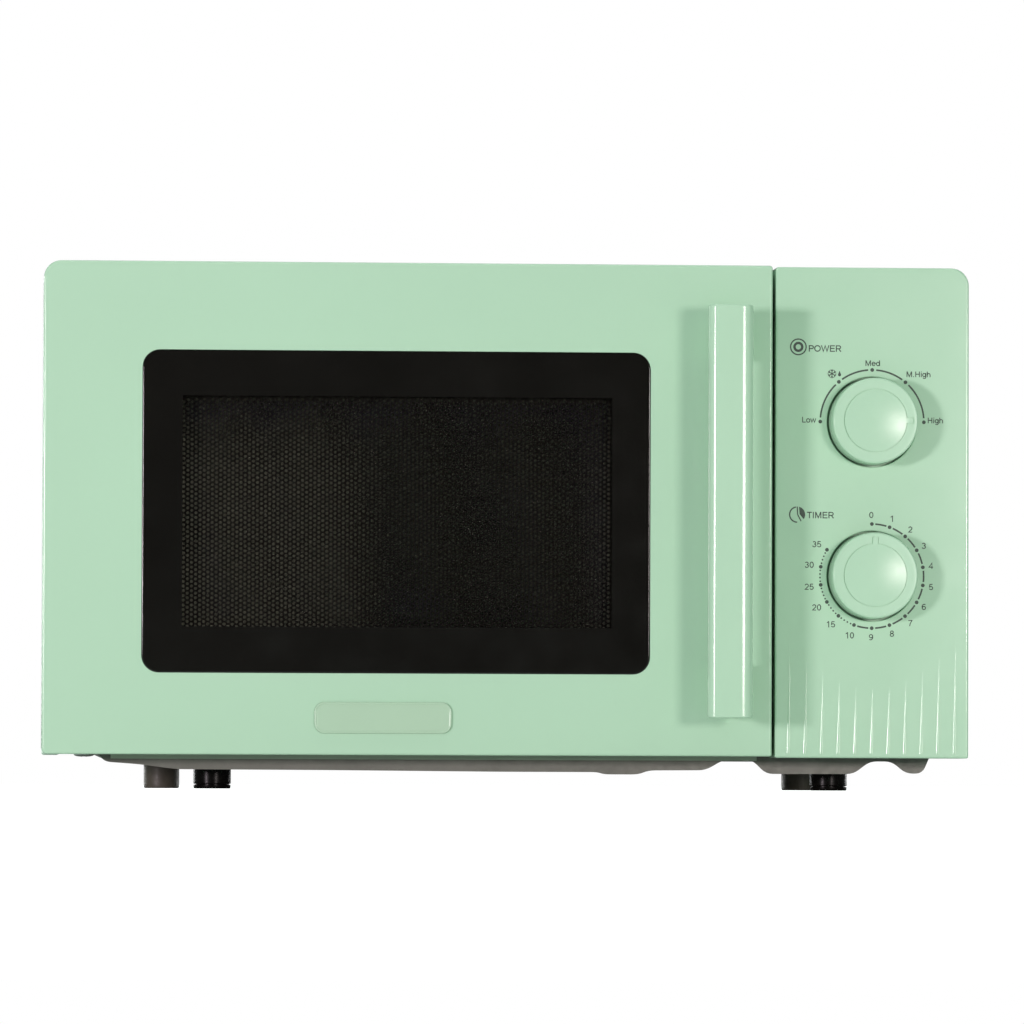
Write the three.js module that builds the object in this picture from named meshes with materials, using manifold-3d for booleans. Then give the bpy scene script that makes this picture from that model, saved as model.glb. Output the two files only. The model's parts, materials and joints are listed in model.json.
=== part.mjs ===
// Countertop microwave oven: a mint green body with a side-hinged door, a bar handle, two rotary
// controls and a rotating glass tray. Millimetres, +Z up, front towards -Y. The origin is on the floor,
// under the middle of the oven's bounding box.

import * as THREE from 'three';
import { ConvexGeometry } from 'three/addons/geometries/ConvexGeometry.js';
import { mergeVertices } from 'three/addons/utils/BufferGeometryUtils.js';
import Module from 'manifold-3d';

const wasm = await Module();
wasm.setup();

// Driving dimensions of the outside.
const WIDTH = 451;
const FLOOR_GAP = 16.5;
const FACE_HEIGHT = 239.3;
const BODY_DEPTH = 342;
const HANDLE_REACH = 37;
const FRONT_DEPTH = 31;
const SHEET = 1.2;
const PAN_SHEET = 1.4;
const PAN_FLOOR = 15;
const GAP = 0.3;

const HALF_WIDTH = WIDTH / 2;
const TOP = FLOOR_GAP + FACE_HEIGHT;
const FACE_Y = HANDLE_REACH - (BODY_DEPTH + HANDLE_REACH) / 2;
const BACK_Y = FACE_Y + BODY_DEPTH;
const FRONT_BACK_Y = FACE_Y + FRONT_DEPTH;

// The steel front plate that the door closes against, and the body shell behind it.
const PLATE_Y = FRONT_BACK_Y + 1;
const PLATE_BACK_Y = PLATE_Y + 1.5;
const BODY_FRONT_Y = PLATE_BACK_Y + GAP;
const CASE_X = HALF_WIDTH - 2.5;
const CASE_TOP = TOP - 1.5;
const CASE_BOTTOM = FLOOR_GAP + 0.7;
const CASE_CORNER = 8.3;
const CASE_BACK_Y = BACK_Y - 2.8;
const REAR_PANEL_Y = CASE_BACK_Y + GAP;
const INSIDE_X = CASE_X - SHEET - GAP;
const INSIDE_TOP = CASE_TOP - SHEET - GAP;
const INSIDE_BOTTOM = CASE_BOTTOM + SHEET + GAP;

// Oven cavity, inner sizes.
const CAVITY = { left: -207, right: 99, bottom: 36, top: 233, back: 167.5, corner: 5 };
const CAVITY_X = (CAVITY.left + CAVITY.right) / 2;
const CAVITY_Y = (BODY_FRONT_Y + CAVITY.back) / 2;

// Door, its window and hinge line.
const DOOR = { left: -HALF_WIDTH, right: 129.25, bottom: FLOOR_GAP, top: TOP, wall: 3 };
const WINDOW = { left: -177.5, right: 69.7, bottom: 56.1, top: 212.8, corner: 8.5 };
const SCREEN = { left: -159.4, right: 52.5, bottom: 77, top: 192.1 };
const HINGE_X = DOOR.left + 9;
const HINGE_Y = FACE_Y + 18;
const HINGE_CLEAR = 13.4;
const PIN_RADIUS = 3;
const HANDLE = { left: 94.9, right: 116.6, bottom: 35, top: 234.4 };
const HANDLE_GRIP = { bottom: 61.5, top: 209.1, depth: 27, inset: 3.5 };
const BADGE_HEIGHT = 1.2;
const LATCH = { x: 115, bottom: 55, top: 205 };
const SPRING_LENGTH = 20;

// Control panel and the two rotary controls.
const PANEL = { left: 130.75, right: HALF_WIDTH, bottom: FLOOR_GAP - 0.6, top: TOP - 0.6 };
const CONTROL_X = 178;
const POWER_Z = 179.8;
const TIMER_Z = 104.6;
const WELL_RADIUS = 22.6;
const WELL_DEPTH = 6;
const KNOB_RADIUS = 21.1;
const KNOB_REACH = 16.5;
const SHAFT_RADIUS = 3;
const RIB = { count: 11, pitch: 8.13, width: 1.8, height: 0.6, lowest: 50, rise: 0.9 };

// Turntable heights, from the cavity floor up.
const ROLLER_RADIUS = 8;
const ROLLER_Z = CAVITY.bottom + GAP + ROLLER_RADIUS;
const TRAY_Z = ROLLER_Z + ROLLER_RADIUS + GAP;
const TRAY_RADIUS = 122.5;
const RING_RADIUS = 77;
const ROLLER_TRACK = 89;

// Compartment on the right of the cavity.
const BAY_LEFT = CAVITY.right + SHEET + GAP;
const MAGNETRON = { x: 150, y: 40, bottom: 129.5, top: 195.5 };
const FAN = { x: 161, z: 148 };
const CORD = { x: 196, z: 44 };
const CORE = { left: 112, right: 200, front: 0, back: 70, bottom: 17, top: 84 };
const LEG = { left: 142, right: 170 };
const CAN = { x: 158, y: -45, halfWidth: 26, halfDepth: 16, bottom: 17, top: 110 };

const finish = (color, roughness, metalness) => ({ color, roughness, metalness });
const MINT = finish(0xb6dbbe, 0.35, 0);
const BLACK_GLASS = finish(0x12110f, 0.12, 0);
const CLEAR = finish(0xcfdad6, 0.08, 0);
const ZINC = finish(0xa9abaa, 0.4, 0.9);
const ENAMEL = finish(0xd9dcd8, 0.4, 0.1);
const DARK_PLASTIC = finish(0x1f201f, 0.5, 0);
const WHITE_PLASTIC = finish(0xe3e2dc, 0.5, 0);
const GREY_FOOT = finish(0x6d6459, 0.55, 0);
const COPPER = finish(0xa8643a, 0.4, 0.8);
const STEEL = finish(0x8f9294, 0.35, 1);

// ---- Solids ----

function toManifold(geometry) {
  const bare = geometry.clone();
  bare.deleteAttribute('normal');
  bare.deleteAttribute('uv');
  const merged = mergeVertices(bare, 1e-3);
  return new wasm.Manifold(new wasm.Mesh({
    numProp: 3,
    vertProperties: new Float32Array(merged.attributes.position.array),
    triVerts: new Uint32Array(merged.index.array),
  }));
}

function toGeometry(manifold) {
  const mesh = manifold.getMesh();
  const geometry = new THREE.BufferGeometry();
  geometry.setAttribute('position', new THREE.BufferAttribute(mesh.vertProperties, 3));
  geometry.setIndex(new THREE.BufferAttribute(mesh.triVerts, 1));
  geometry.computeVertexNormals();
  return geometry;
}

function join(...geometries) {
  return toGeometry(geometries.map(toManifold).reduce((whole, next) => whole.add(next)));
}

function cut(body, ...tools) {
  return toGeometry(tools.map(toManifold).reduce((whole, next) => whole.subtract(next), toManifold(body)));
}

function block(x0, x1, y0, y1, z0, z1) {
  const box = new THREE.BoxGeometry(x1 - x0, y1 - y0, z1 - z0);
  return box.translate((x0 + x1) / 2, (y0 + y1) / 2, (z0 + z1) / 2);
}

// Cylinders along each axis, from one end to the other.
function rodZ(radius, x, y, z0, z1, sides = 16) {
  const rod = new THREE.CylinderGeometry(radius, radius, z1 - z0, sides);
  return rod.rotateX(Math.PI / 2).translate(x, y, (z0 + z1) / 2);
}

function rodY(radius, x, y0, y1, z, sides = 16) {
  return new THREE.CylinderGeometry(radius, radius, y1 - y0, sides).translate(x, (y0 + y1) / 2, z);
}

function rodX(radius, x0, x1, y, z, sides = 16) {
  const rod = new THREE.CylinderGeometry(radius, radius, x1 - x0, sides);
  return rod.rotateZ(Math.PI / 2).translate((x0 + x1) / 2, y, z);
}

// An outline on the X-Z plane made into a slab that runs from y0 to y1.
function slab(shape, y0, y1, curveSegments = 5) {
  const plate = new THREE.ExtrudeGeometry(shape, { depth: y1 - y0, bevelEnabled: false, curveSegments });
  return plate.rotateX(Math.PI / 2).translate(0, y1, 0);
}

// An outline on the X-Y plane made into a column that runs from z0 to z1.
function column(shape, z0, z1, curveSegments = 5) {
  const plate = new THREE.ExtrudeGeometry(shape, { depth: z1 - z0, bevelEnabled: false, curveSegments });
  return plate.translate(0, 0, z0);
}

function polygon(points) {
  return new THREE.Shape(points.map(([x, y]) => new THREE.Vector2(x, y)));
}

// A rectangle with its own radius at each corner: top left, top right, bottom right, bottom left.
function roundedRectangle(left, right, bottom, top, [tl, tr, br, bl]) {
  const shape = new THREE.Shape();
  shape.moveTo(left + bl, bottom);
  shape.lineTo(right - br, bottom);
  shape.absarc(right - br, bottom + br, br, -Math.PI / 2, 0, false);
  shape.lineTo(right, top - tr);
  shape.absarc(right - tr, top - tr, tr, 0, Math.PI / 2, false);
  shape.lineTo(left + tl, top);
  shape.absarc(left + tl, top - tl, tl, Math.PI / 2, Math.PI, false);
  shape.lineTo(left, bottom + bl);
  shape.absarc(left + bl, bottom + bl, bl, Math.PI, Math.PI * 1.5, false);
  return shape;
}

function evenRectangle(left, right, bottom, top, radius) {
  return roundedRectangle(left, right, bottom, top, [radius, radius, radius, radius]);
}

// A closed profile of [radius, height] points turned about +Z. The points run anticlockwise.
function turned(points, sides) {
  const profile = points.map(([radius, height]) => new THREE.Vector2(radius, height));
  return new THREE.LatheGeometry(profile, sides).rotateX(Math.PI / 2);
}

function place(parent, name, geometry, look, x = 0, y = 0, z = 0) {
  const mesh = new THREE.Mesh(geometry, new THREE.MeshStandardMaterial(look));
  mesh.name = name;
  mesh.position.set(x, y, z);
  parent.add(mesh);
  return mesh;
}

// ---- Body shell ----

// Wrap-round sheet: two sides and the top, with a lip turned in along each lower edge.
function outerCase() {
  const lip = 8;
  const shape = new THREE.Shape();
  const inner = CASE_CORNER - SHEET;
  const cornerZ = CASE_TOP - CASE_CORNER;
  const cornerX = CASE_X - CASE_CORNER;
  shape.moveTo(CASE_X - lip, CASE_BOTTOM);
  shape.lineTo(CASE_X, CASE_BOTTOM);
  shape.lineTo(CASE_X, cornerZ);
  shape.absarc(cornerX, cornerZ, CASE_CORNER, 0, Math.PI / 2, false);
  shape.lineTo(-cornerX, CASE_TOP);
  shape.absarc(-cornerX, cornerZ, CASE_CORNER, Math.PI / 2, Math.PI, false);
  shape.lineTo(-CASE_X, CASE_BOTTOM);
  shape.lineTo(-CASE_X + lip, CASE_BOTTOM);
  shape.lineTo(-CASE_X + lip, CASE_BOTTOM + SHEET);
  shape.lineTo(-CASE_X + SHEET, CASE_BOTTOM + SHEET);
  shape.lineTo(-CASE_X + SHEET, cornerZ);
  shape.absarc(-cornerX, cornerZ, inner, Math.PI, Math.PI / 2, true);
  shape.lineTo(cornerX, CASE_TOP - SHEET);
  shape.absarc(cornerX, cornerZ, inner, Math.PI / 2, 0, true);
  shape.lineTo(CASE_X - SHEET, CASE_BOTTOM + SHEET);
  shape.lineTo(CASE_X - lip, CASE_BOTTOM + SHEET);
  const wrap = slab(shape, PLATE_Y - GAP, CASE_BACK_Y);
  const louvres = [];
  for (const side of [-1, 1]) {
    for (let row = 0; row < 7; row += 1) {
      const y = 96 + row * 10;
      const x = side * CASE_X;
      louvres.push(block(x - 4, x + 4, y, y + 4, 60, 100));
    }
  }
  return cut(wrap, ...louvres);
}

// Flat steel plate round the cavity mouth, with openings for the controls and the latch hooks. A narrow
// lip hangs below it, under the door.
function frontFrame() {
  const radius = CASE_CORNER - SHEET - GAP;
  const hingeFoot = INSIDE_BOTTOM + 0.6;
  const lipBottom = FLOOR_GAP - 2;
  const shape = new THREE.Shape();
  shape.moveTo(-INSIDE_X, hingeFoot);
  shape.lineTo(-191.5, hingeFoot);
  shape.lineTo(-191.5, lipBottom);
  shape.lineTo(125, lipBottom);
  shape.lineTo(125, hingeFoot);
  shape.lineTo(INSIDE_X, hingeFoot);
  shape.lineTo(INSIDE_X, INSIDE_TOP - radius);
  shape.absarc(INSIDE_X - radius, INSIDE_TOP - radius, radius, 0, Math.PI / 2, false);
  shape.lineTo(-INSIDE_X + radius, INSIDE_TOP);
  shape.absarc(-INSIDE_X + radius, INSIDE_TOP - radius, radius, Math.PI / 2, Math.PI, false);
  const mouth = evenRectangle(CAVITY.left, CAVITY.right, CAVITY.bottom, CAVITY.top, CAVITY.corner);
  const before = PLATE_Y - 1;
  const behind = PLATE_BACK_Y + 1;
  return cut(
    slab(shape, PLATE_Y, PLATE_BACK_Y),
    slab(mouth, before, behind),
    block(138, 216, before, behind, 30, 246),
    block(109.5, 123, before, behind, 57, 83),
    block(109.5, 123, before, behind, 177, 203),
    block(-219, -197, before, behind, 245.7, 248.3),
  );
}

// Stamped pan: a flat floor between raised sides. The flange at its front end has a wavy lower edge,
// which hangs below the floor under the cavity and under the transformer.
function basePlate() {
  const flat = INSIDE_BOTTOM;
  const floor = PAN_FLOOR;
  const upper = flat + PAN_SHEET;
  const underside = [
    [-INSIDE_X, flat], [-198.5, flat], [-190, floor], [205, floor], [212, flat], [INSIDE_X, flat],
  ];
  const topside = underside.map(([x, z]) => [x, z + PAN_SHEET]).reverse();
  const beads = [
    [-INSIDE_X, flat], [-198.5, flat], [-195, 13], [-178, 11.8], [-159, 9.4], [-82, 9.2], [0, 8.7],
    [47, 8.7], [50, 7.6], [67, 7.6], [72, 9.6], [100, 9.8], [109, floor], [123, floor], [130, 8.1],
    [173, 8.2], [181, 14.4], [192, 14.4], [199, 8.5], [207, 8.5], [214, flat], [INSIDE_X, flat],
  ];
  return join(
    slab(polygon([...underside, ...topside]), BODY_FRONT_Y, CASE_BACK_Y),
    slab(polygon([...beads, [INSIDE_X, upper], [-INSIDE_X, upper]]), BODY_FRONT_Y, BODY_FRONT_Y + PAN_SHEET),
  );
}

// Rear sheet with the fan's inlet grille, an outlet grille for the cavity air and the cord's hole.
function rearPanel() {
  const y0 = REAR_PANEL_Y;
  const y1 = REAR_PANEL_Y + SHEET;
  const corner = CASE_CORNER - SHEET - GAP;
  const outline = roundedRectangle(-INSIDE_X, INSIDE_X, INSIDE_BOTTOM, INSIDE_TOP, [corner, corner, 1, 1]);
  const tools = [rodY(9.3, CORD.x, y0 - 1, y1 + 1, CORD.z)];
  for (let row = -4; row <= 4; row += 1) {
    const z = FAN.z + row * 9.5;
    const reach = Math.sqrt(44 ** 2 - (row * 9.5) ** 2);
    tools.push(block(FAN.x - reach, FAN.x + reach, y0 - 1, y1 + 1, z - 2, z + 2));
  }
  for (let slot = 0; slot < 8; slot += 1) {
    const x = -190 + slot * 9;
    tools.push(block(x, x + 4, y0 - 1, y1 + 1, 196, 224));
  }
  return cut(slab(outline, y0, y1), ...tools);
}

// Bushing that the mains lead leaves through.
function cordGland() {
  const flange = REAR_PANEL_Y + SHEET + GAP;
  return cut(
    join(
      rodY(9, CORD.x, REAR_PANEL_Y - 6, flange + 0.1, CORD.z),
      rodY(12, CORD.x, flange, BACK_Y, CORD.z),
    ),
    rodY(3.7, CORD.x, REAR_PANEL_Y - 8, BACK_Y + 1, CORD.z, 16),
  );
}

// Rubber-faced foot, turned, with its sole on the floor.
function foot(height) {
  return turned([[0, 0], [8.7, 0], [9.25, 0.8], [9.25, height - 1], [8.6, height], [0, height]], 20);
}

// ---- Cavity and waveguide ----

function cavity() {
  const { left, right, bottom, top, back, corner } = CAVITY;
  const outside = evenRectangle(left - SHEET, right + SHEET, bottom - SHEET, top + SHEET, corner + SHEET);
  const inside = evenRectangle(left, right, bottom, top, corner);
  return cut(
    slab(outside, BODY_FRONT_Y, back + SHEET),
    slab(inside, BODY_FRONT_Y - 1, back),
    block(right - 1, right + 3, 6, 74, 199, 221),
    rodZ(9, CAVITY_X, CAVITY_Y, bottom - 3, bottom + 1),
  );
}

function waveguide() {
  const left = BAY_LEFT;
  return cut(
    block(left, 198, 0, 80, 196, 230),
    block(left - 1, 198 - SHEET, SHEET, 80 - SHEET, 196 + SHEET, 230 - SHEET),
    rodZ(11, MAGNETRON.x, MAGNETRON.y, 190, 200),
  );
}

function waveguideCover() {
  return block(CAVITY.right - GAP - 1, CAVITY.right - GAP, 0, 80, 193, 226);
}

// ---- Microwave source ----

// Open yoke with two ring magnets, the anode with its cooling fins, and the filter box below.
function magnetronBody() {
  const { x, y, bottom, top } = MAGNETRON;
  const yoke = cut(
    block(x - 40, x + 40, y - 35, y + 35, bottom, top),
    block(x - 37.5, x + 37.5, y - 36, y + 36, bottom + 2.5, top - 2.5),
  );
  const pieces = [
    yoke,
    rodZ(17, x, y, bottom + 1, top - 1, 16),
    rodZ(27, x, y, bottom + 1, bottom + 13, 20),
    rodZ(27, x, y, top - 13, top - 1, 20),
    block(x - 25, x + 25, y - 25, y + 25, bottom - 21, bottom + 1),
  ];
  for (let fin = 0; fin < 6; fin += 1) {
    const z = bottom + 18 + fin * 6;
    pieces.push(block(x - 34, x + 34, y - 30, y + 30, z, z + 1));
  }
  return join(...pieces);
}

function magnetronAntenna() {
  const { top } = MAGNETRON;
  return turned([[0, 0], [9, 0], [9, 14], [7, 16], [7, 25], [0, 26]], 20).translate(0, 0, top + GAP);
}

// Laminated core with two windows that the coils pass through.
function transformerCore() {
  const { left, right, front, back, bottom, top } = CORE;
  return cut(
    block(left, right, front, back, bottom, top),
    block(left + 14, LEG.left, front - 1, back + 1, bottom + 14, top - 14),
    block(LEG.right, right - 14, front - 1, back + 1, bottom + 14, top - 14),
  );
}

function winding(z0, z1) {
  const reach = 13;
  const outline = (x0, x1, y0, y1, radius) => evenRectangle(x0, x1, y0, y1, radius);
  const outer = outline(CORE.left + 14.5, CORE.right - 14.5, CORE.front - reach, CORE.back + reach, 9);
  const inner = outline(LEG.left - 0.5, LEG.right + 0.5, CORE.front - 0.5, CORE.back + 0.5, 0.1);
  return cut(column(outer, z0, z1, 4), column(inner, z0 - 1, z1 + 1, 1));
}

function canOutline(margin) {
  const { x, y, halfWidth, halfDepth } = CAN;
  const radius = halfDepth + margin;
  return evenRectangle(x - halfWidth - margin, x + halfWidth + margin, y - radius, y + radius, radius - 0.01);
}

function capacitor() {
  const { x, y, bottom, top } = CAN;
  return join(
    column(canOutline(0), bottom, top, 6),
    block(x - 14, x - 8, y - 1, y + 1, top - 1, top + 9),
    block(x + 8, x + 14, y - 1, y + 1, top - 1, top + 9),
  );
}

// Sheet band round the can with a tab for its screw.
function capacitorClamp() {
  const band = cut(column(canOutline(1.5), 40, 56, 6), column(canOutline(GAP), 39, 57, 6));
  const edge = CAN.x + CAN.halfWidth + 1;
  return join(band, block(edge, edge + 16, CAN.y - 0.8, CAN.y + 0.8, 40, 56));
}

function highVoltageDiode() {
  return join(block(194, 206, -30, -22, 62, 84), block(199, 201, -27, -25, 52, 92));
}

function thermalCutout() {
  return join(
    rodX(8, BAY_LEFT, BAY_LEFT + 6, -25, 150, 20),
    rodX(5, BAY_LEFT + 5, BAY_LEFT + 12, -25, 150, 16),
    block(BAY_LEFT, BAY_LEFT + 1, -39, -11, 146, 154),
  );
}

// ---- Cooling ----

// Square duct with a round bore and two bars that carry the motor.
function fanDuct() {
  const { x, z } = FAN;
  const front = 150;
  const back = REAR_PANEL_Y - GAP;
  const frame = cut(
    block(x - 54, x + 54, front, back, z - 54, z + 54),
    rodY(50, x, front - 1, back + 1, z, 32),
  );
  return join(
    frame,
    block(x - 20, x - 12, front - 4, front + 1, z - 54, z + 54),
    block(x + 12, x + 20, front - 4, front + 1, z - 54, z + 54),
  );
}

function fanMotor() {
  const { x, z } = FAN;
  const back = 150 - 4 - GAP;
  return cut(
    join(
      block(x - 24, x + 24, back - 16, back, z - 18, z + 26),
      block(x - 12, x + 12, back - 28, back - 1, z - 30, z - 10),
      rodY(11, x, back - 24, back, z, 20),
    ),
    rodY(2.9, x, back - 10, back + 1, z, 12),
  );
}

// Hub, shaft and five pitched blades.
function fanImpeller() {
  const pieces = [rodY(13, 0, -11, 11, 0, 20), rodY(2.5, 0, -32, 0, 0, 12)];
  for (let blade = 0; blade < 5; blade += 1) {
    const vane = new THREE.BoxGeometry(36, 24, 1.8);
    vane.rotateX(THREE.MathUtils.degToRad(38));
    vane.translate(28, 0, 0);
    pieces.push(vane.rotateY((blade * Math.PI * 2) / 5));
  }
  return join(...pieces);
}

// ---- Turntable ----

function turntableMotor() {
  const top = CAVITY.bottom - SHEET - GAP;
  return cut(
    join(
      rodZ(24, 0, 0, top - 14.5, top, 32),
      block(-31, 31, -5, 5, top - 1.5, top),
    ),
    rodZ(3.4, 0, 0, top - 9, top + 1, 12),
  );
}

// Stem in the motor, and three wings that drive the tray from below.
function turntableCoupler() {
  const base = CAVITY.bottom + GAP;
  const pieces = [
    rodZ(3, 0, 0, CAVITY.bottom - 9, base + 2, 12),
    rodZ(9.5, 0, 0, base, TRAY_Z - 3, 24),
  ];
  for (let wing = 0; wing < 3; wing += 1) {
    const arm = block(0, 21, -3, 3, base + 4, TRAY_Z - GAP);
    pieces.push(arm.rotateZ((wing * Math.PI * 2) / 3));
  }
  return join(...pieces);
}

// Shallow glass plate with a raised rim.
function glassTray() {
  return turned([
    [0, 0], [98, 0], [106, 2.6], [119.5, 9.4], [TRAY_RADIUS, 12.5], [TRAY_RADIUS, 14.4],
    [119, 13.2], [104.5, 6.4], [97, 4.5], [0, 4.5],
  ], 40);
}

function rollerRing() {
  const half = 3;
  const ring = turned([
    [RING_RADIUS - half, -2.5], [RING_RADIUS + half, -2.5], [RING_RADIUS + half, 2.5],
    [RING_RADIUS - half, 2.5], [RING_RADIUS - half, -2.5],
  ], 32);
  const pieces = [ring];
  for (let arm = 0; arm < 3; arm += 1) {
    const axle = rodX(2, RING_RADIUS, ROLLER_TRACK + 4.5, 0, 0, 12);
    pieces.push(axle.rotateZ((arm * Math.PI * 2) / 3));
  }
  return join(...pieces);
}

function roller() {
  return cut(rodX(ROLLER_RADIUS, -4, 4, 0, 0, 24), rodX(2.4, -5, 5, 0, 0, 12));
}

// ---- Lamp ----

function lampSocket() {
  return cut(
    join(rodX(9, 142, 160, -62, 214, 20), block(158, 162, -76, -48, 200, 228)),
    rodX(6.6, 140, 156, -62, 214, 16),
  );
}

function lampBulb() {
  const profile = [[0, 0], [6, 0], [6, 17], [8, 20], [11, 26], [11.5, 31], [9.5, 37], [5, 40.5], [0, 41.5]];
  return turned(profile, 20);
}

// ---- Door ----

// Moulded frame: a front plate with the window opening and a wall all round, open at the back. The
// hinge pins turn in two bosses, and slots let the hinge arms in. The hinge edge is rounded off about
// the hinge line so that it clears the front plate.
function doorFrame() {
  const { left, right, bottom, top, wall } = DOOR;
  const outline = (inset) => roundedRectangle(
    left + inset, right - inset, bottom + inset, top - inset,
    [8.6, 1.5, 1, 2.6].map((radius) => Math.max(radius - inset, 0.4)),
  );
  const shell = cut(
    slab(outline(0), FACE_Y, FRONT_BACK_Y),
    slab(outline(wall), FACE_Y + wall, FRONT_BACK_Y + 1),
    slab(windowOutline(0), FACE_Y - 1, FACE_Y + wall + 1),
  );
  const boss = (z0, z1) => block(left + 1, HINGE_X + 6.5, HINGE_Y - 6.5, HINGE_Y + 6.5, z0, z1);
  const bore = (z0, z1) => rodZ(PIN_RADIUS + 0.3, HINGE_X, HINGE_Y, z0, z1, 20);
  const edge = cut(
    block(left - 1, HINGE_X, HINGE_Y, FRONT_BACK_Y + 1, bottom - 1, top + 1),
    rodZ(HINGE_CLEAR, HINGE_X, HINGE_Y, bottom - 2, top + 2, 48),
  );
  return cut(
    join(shell, boss(bottom + 2.8, 33), boss(231, 245.6)),
    edge,
    bore(bottom - 1, 30.5),
    bore(233.5, 247),
    block(left - 1, -195, -144.5, FRONT_BACK_Y + 1, bottom - 1, bottom + 2.6),
    block(left - 1, -195, -144.5, FRONT_BACK_Y + 1, 245.7, 248.3),
  );
}

function windowOutline(inset) {
  const { left, right, bottom, top, corner } = WINDOW;
  return evenRectangle(left + inset, right - inset, bottom + inset, top - inset, corner - inset);
}

// Black outer pane that fills the opening, with a flange behind the frame.
function windowGlass() {
  return join(
    slab(windowOutline(GAP), FACE_Y + 0.4, FACE_Y + DOOR.wall + 1),
    slab(windowOutline(-3), FACE_Y + DOOR.wall + GAP, FACE_Y + DOOR.wall + 1.8),
  );
}

// Outline shared by the door's metal panel and choke cover, notched at the hinge bosses.
function innerDoorOutline(left, right, bottom, top) {
  const notchX = -207;
  const notchLow = 33;
  const notchHigh = 231;
  return polygon([
    [notchX, bottom], [right, bottom], [right, top], [notchX, top],
    [notchX, notchHigh], [left, notchHigh], [left, notchLow], [notchX, notchLow],
  ]);
}

function screenOpening(margin) {
  const { left, right, bottom, top } = SCREEN;
  return evenRectangle(left - margin, right + margin, bottom - margin, top + margin, 3);
}

// Folded steel panel with a rim that faces the front plate.
function doorPanel() {
  const y0 = -142;
  const y1 = -124;
  const outer = innerDoorOutline(-220, 108, 22, 245);
  const inner = polygon([
    [-205.8, 23.2], [106.8, 23.2], [106.8, 243.8], [-205.8, 243.8],
    [-205.8, 229.8], [-218.8, 229.8], [-218.8, 34.2], [-205.8, 34.2],
  ]);
  return cut(
    slab(outer, y0, y1),
    slab(inner, y0 + SHEET, y1 + 1),
    slab(screenOpening(2.5), y0 - 1, y1 + 1, 3),
  );
}

function doorScreen() {
  return slab(screenOpening(6.5), -140.5, -139.9, 3);
}

function innerWindow() {
  return slab(screenOpening(12), -125.2, -124, 3);
}

function chokeCover() {
  return cut(
    slab(innerDoorOutline(-218, 107, 23, 244), -123.7, -121.7),
    slab(screenOpening(6), -125, -120, 3),
  );
}

// Straight bar with rounded front edges, on a narrower post at each end.
function handle() {
  const { left, right, bottom, top } = HANDLE;
  const { bottom: low, top: high, depth, inset } = HANDLE_GRIP;
  const back = FACE_Y - GAP;
  const barBack = FACE_Y - depth;
  const section = roundedRectangle(left, right, FACE_Y - HANDLE_REACH, barBack, [2, 2, 5, 5]);
  const post = (z0, z1) => block(left + inset, right - inset, barBack - 1, back, z0, z1);
  return join(column(section, bottom, top, 6), post(bottom + 1, low), post(high, top - 1));
}

// Raised plate below the window, left blank.
function badge() {
  const outline = evenRectangle(-93.6, -26.8, 26.9, 42.2, 4.9);
  return slab(outline, FACE_Y - BADGE_HEIGHT, FACE_Y - GAP);
}

// Bar that slides up inside the door, with a hook at each end.
function doorLatch() {
  const { x, bottom, top } = LATCH;
  const hook = (z) => block(x - 2.5, x + 2.5, -125, -102, z, z + 14);
  return join(block(x - 3, x + 3, -140, -124, bottom, top), hook(bottom + 6), hook(top - 24));
}

// Light coil spring that pushes the latch down.
function latchSpring() {
  const coil = new THREE.Curve();
  const turns = 6;
  coil.getPoint = (t, target = new THREE.Vector3()) => {
    const angle = t * turns * Math.PI * 2;
    return target.set(2.6 * Math.cos(angle), 2.6 * Math.sin(angle), t * SPRING_LENGTH);
  };
  const wire = new THREE.Shape().absarc(0, 0, 0.5, 0, Math.PI * 2, false);
  return new THREE.ExtrudeGeometry(wire, {
    extrudePath: coil, steps: turns * 8, bevelEnabled: false, curveSegments: 2,
  });
}

// ---- Hinges ----

// Arm that reaches from the body to the pin. The pin's end is at the far side of the given plate.
function hinge(outline, z0, z1, pin0, pin1) {
  return join(column(polygon(outline), z0, z1), rodZ(PIN_RADIUS, HINGE_X, HINGE_Y, pin0, pin1, 20));
}

function lowerHinge() {
  const outline = [
    [-222.5, -140.5], [-210.5, -140.5], [-210.5, -124], [-199.3, -124], [-199.3, -98], [-214, -98],
    [-214, -122], [-222.5, -122],
  ];
  return hinge(outline, FLOOR_GAP + 0.6, FLOOR_GAP + 1.9, FLOOR_GAP + 1, 30);
}

function upperHinge() {
  const outline = [
    [-222.5, -140.5], [-210.5, -140.5], [-210.5, -124], [-198, -124], [-198, -104], [-218, -104],
    [-218, -122], [-222.5, -122],
  ];
  return hinge(outline, 246, 248, 234, 246.5);
}

function hingeScrew() {
  return rodZ(5, -204.4, -110, FLOOR_GAP - 1.2, FLOOR_GAP + GAP, 20);
}

// ---- Control side ----

// Moulded panel: front plate, walls, two cups for the knobs and low ribs up the lower part.
function controlPanel() {
  const { left, right, bottom, top } = PANEL;
  const back = PLATE_Y - GAP;
  const outline = (inset) => roundedRectangle(
    left + inset, right - inset, bottom + inset, top - inset,
    [1.5, 8.6, 1, 1].map((radius) => Math.max(radius - inset, 0.4)),
  );
  const floorY = FACE_Y + WELL_DEPTH;
  const cups = [];
  const holes = [];
  for (const z of [POWER_Z, TIMER_Z]) {
    cups.push(rodY(WELL_RADIUS + 2.4, CONTROL_X, FACE_Y + 2, floorY + 2.4, z, 32));
    holes.push(rodY(WELL_RADIUS, CONTROL_X, FACE_Y - 1, floorY, z, 32));
    holes.push(rodY(SHAFT_RADIUS + 1.5, CONTROL_X, floorY - 1, floorY + 4, z, 16));
  }
  const shell = cut(
    slab(outline(0), FACE_Y, back),
    slab(outline(2.6), FACE_Y + 3, back + 1),
  );
  return cut(join(shell, ...cups, ...ribs()), ...holes);
}

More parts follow.
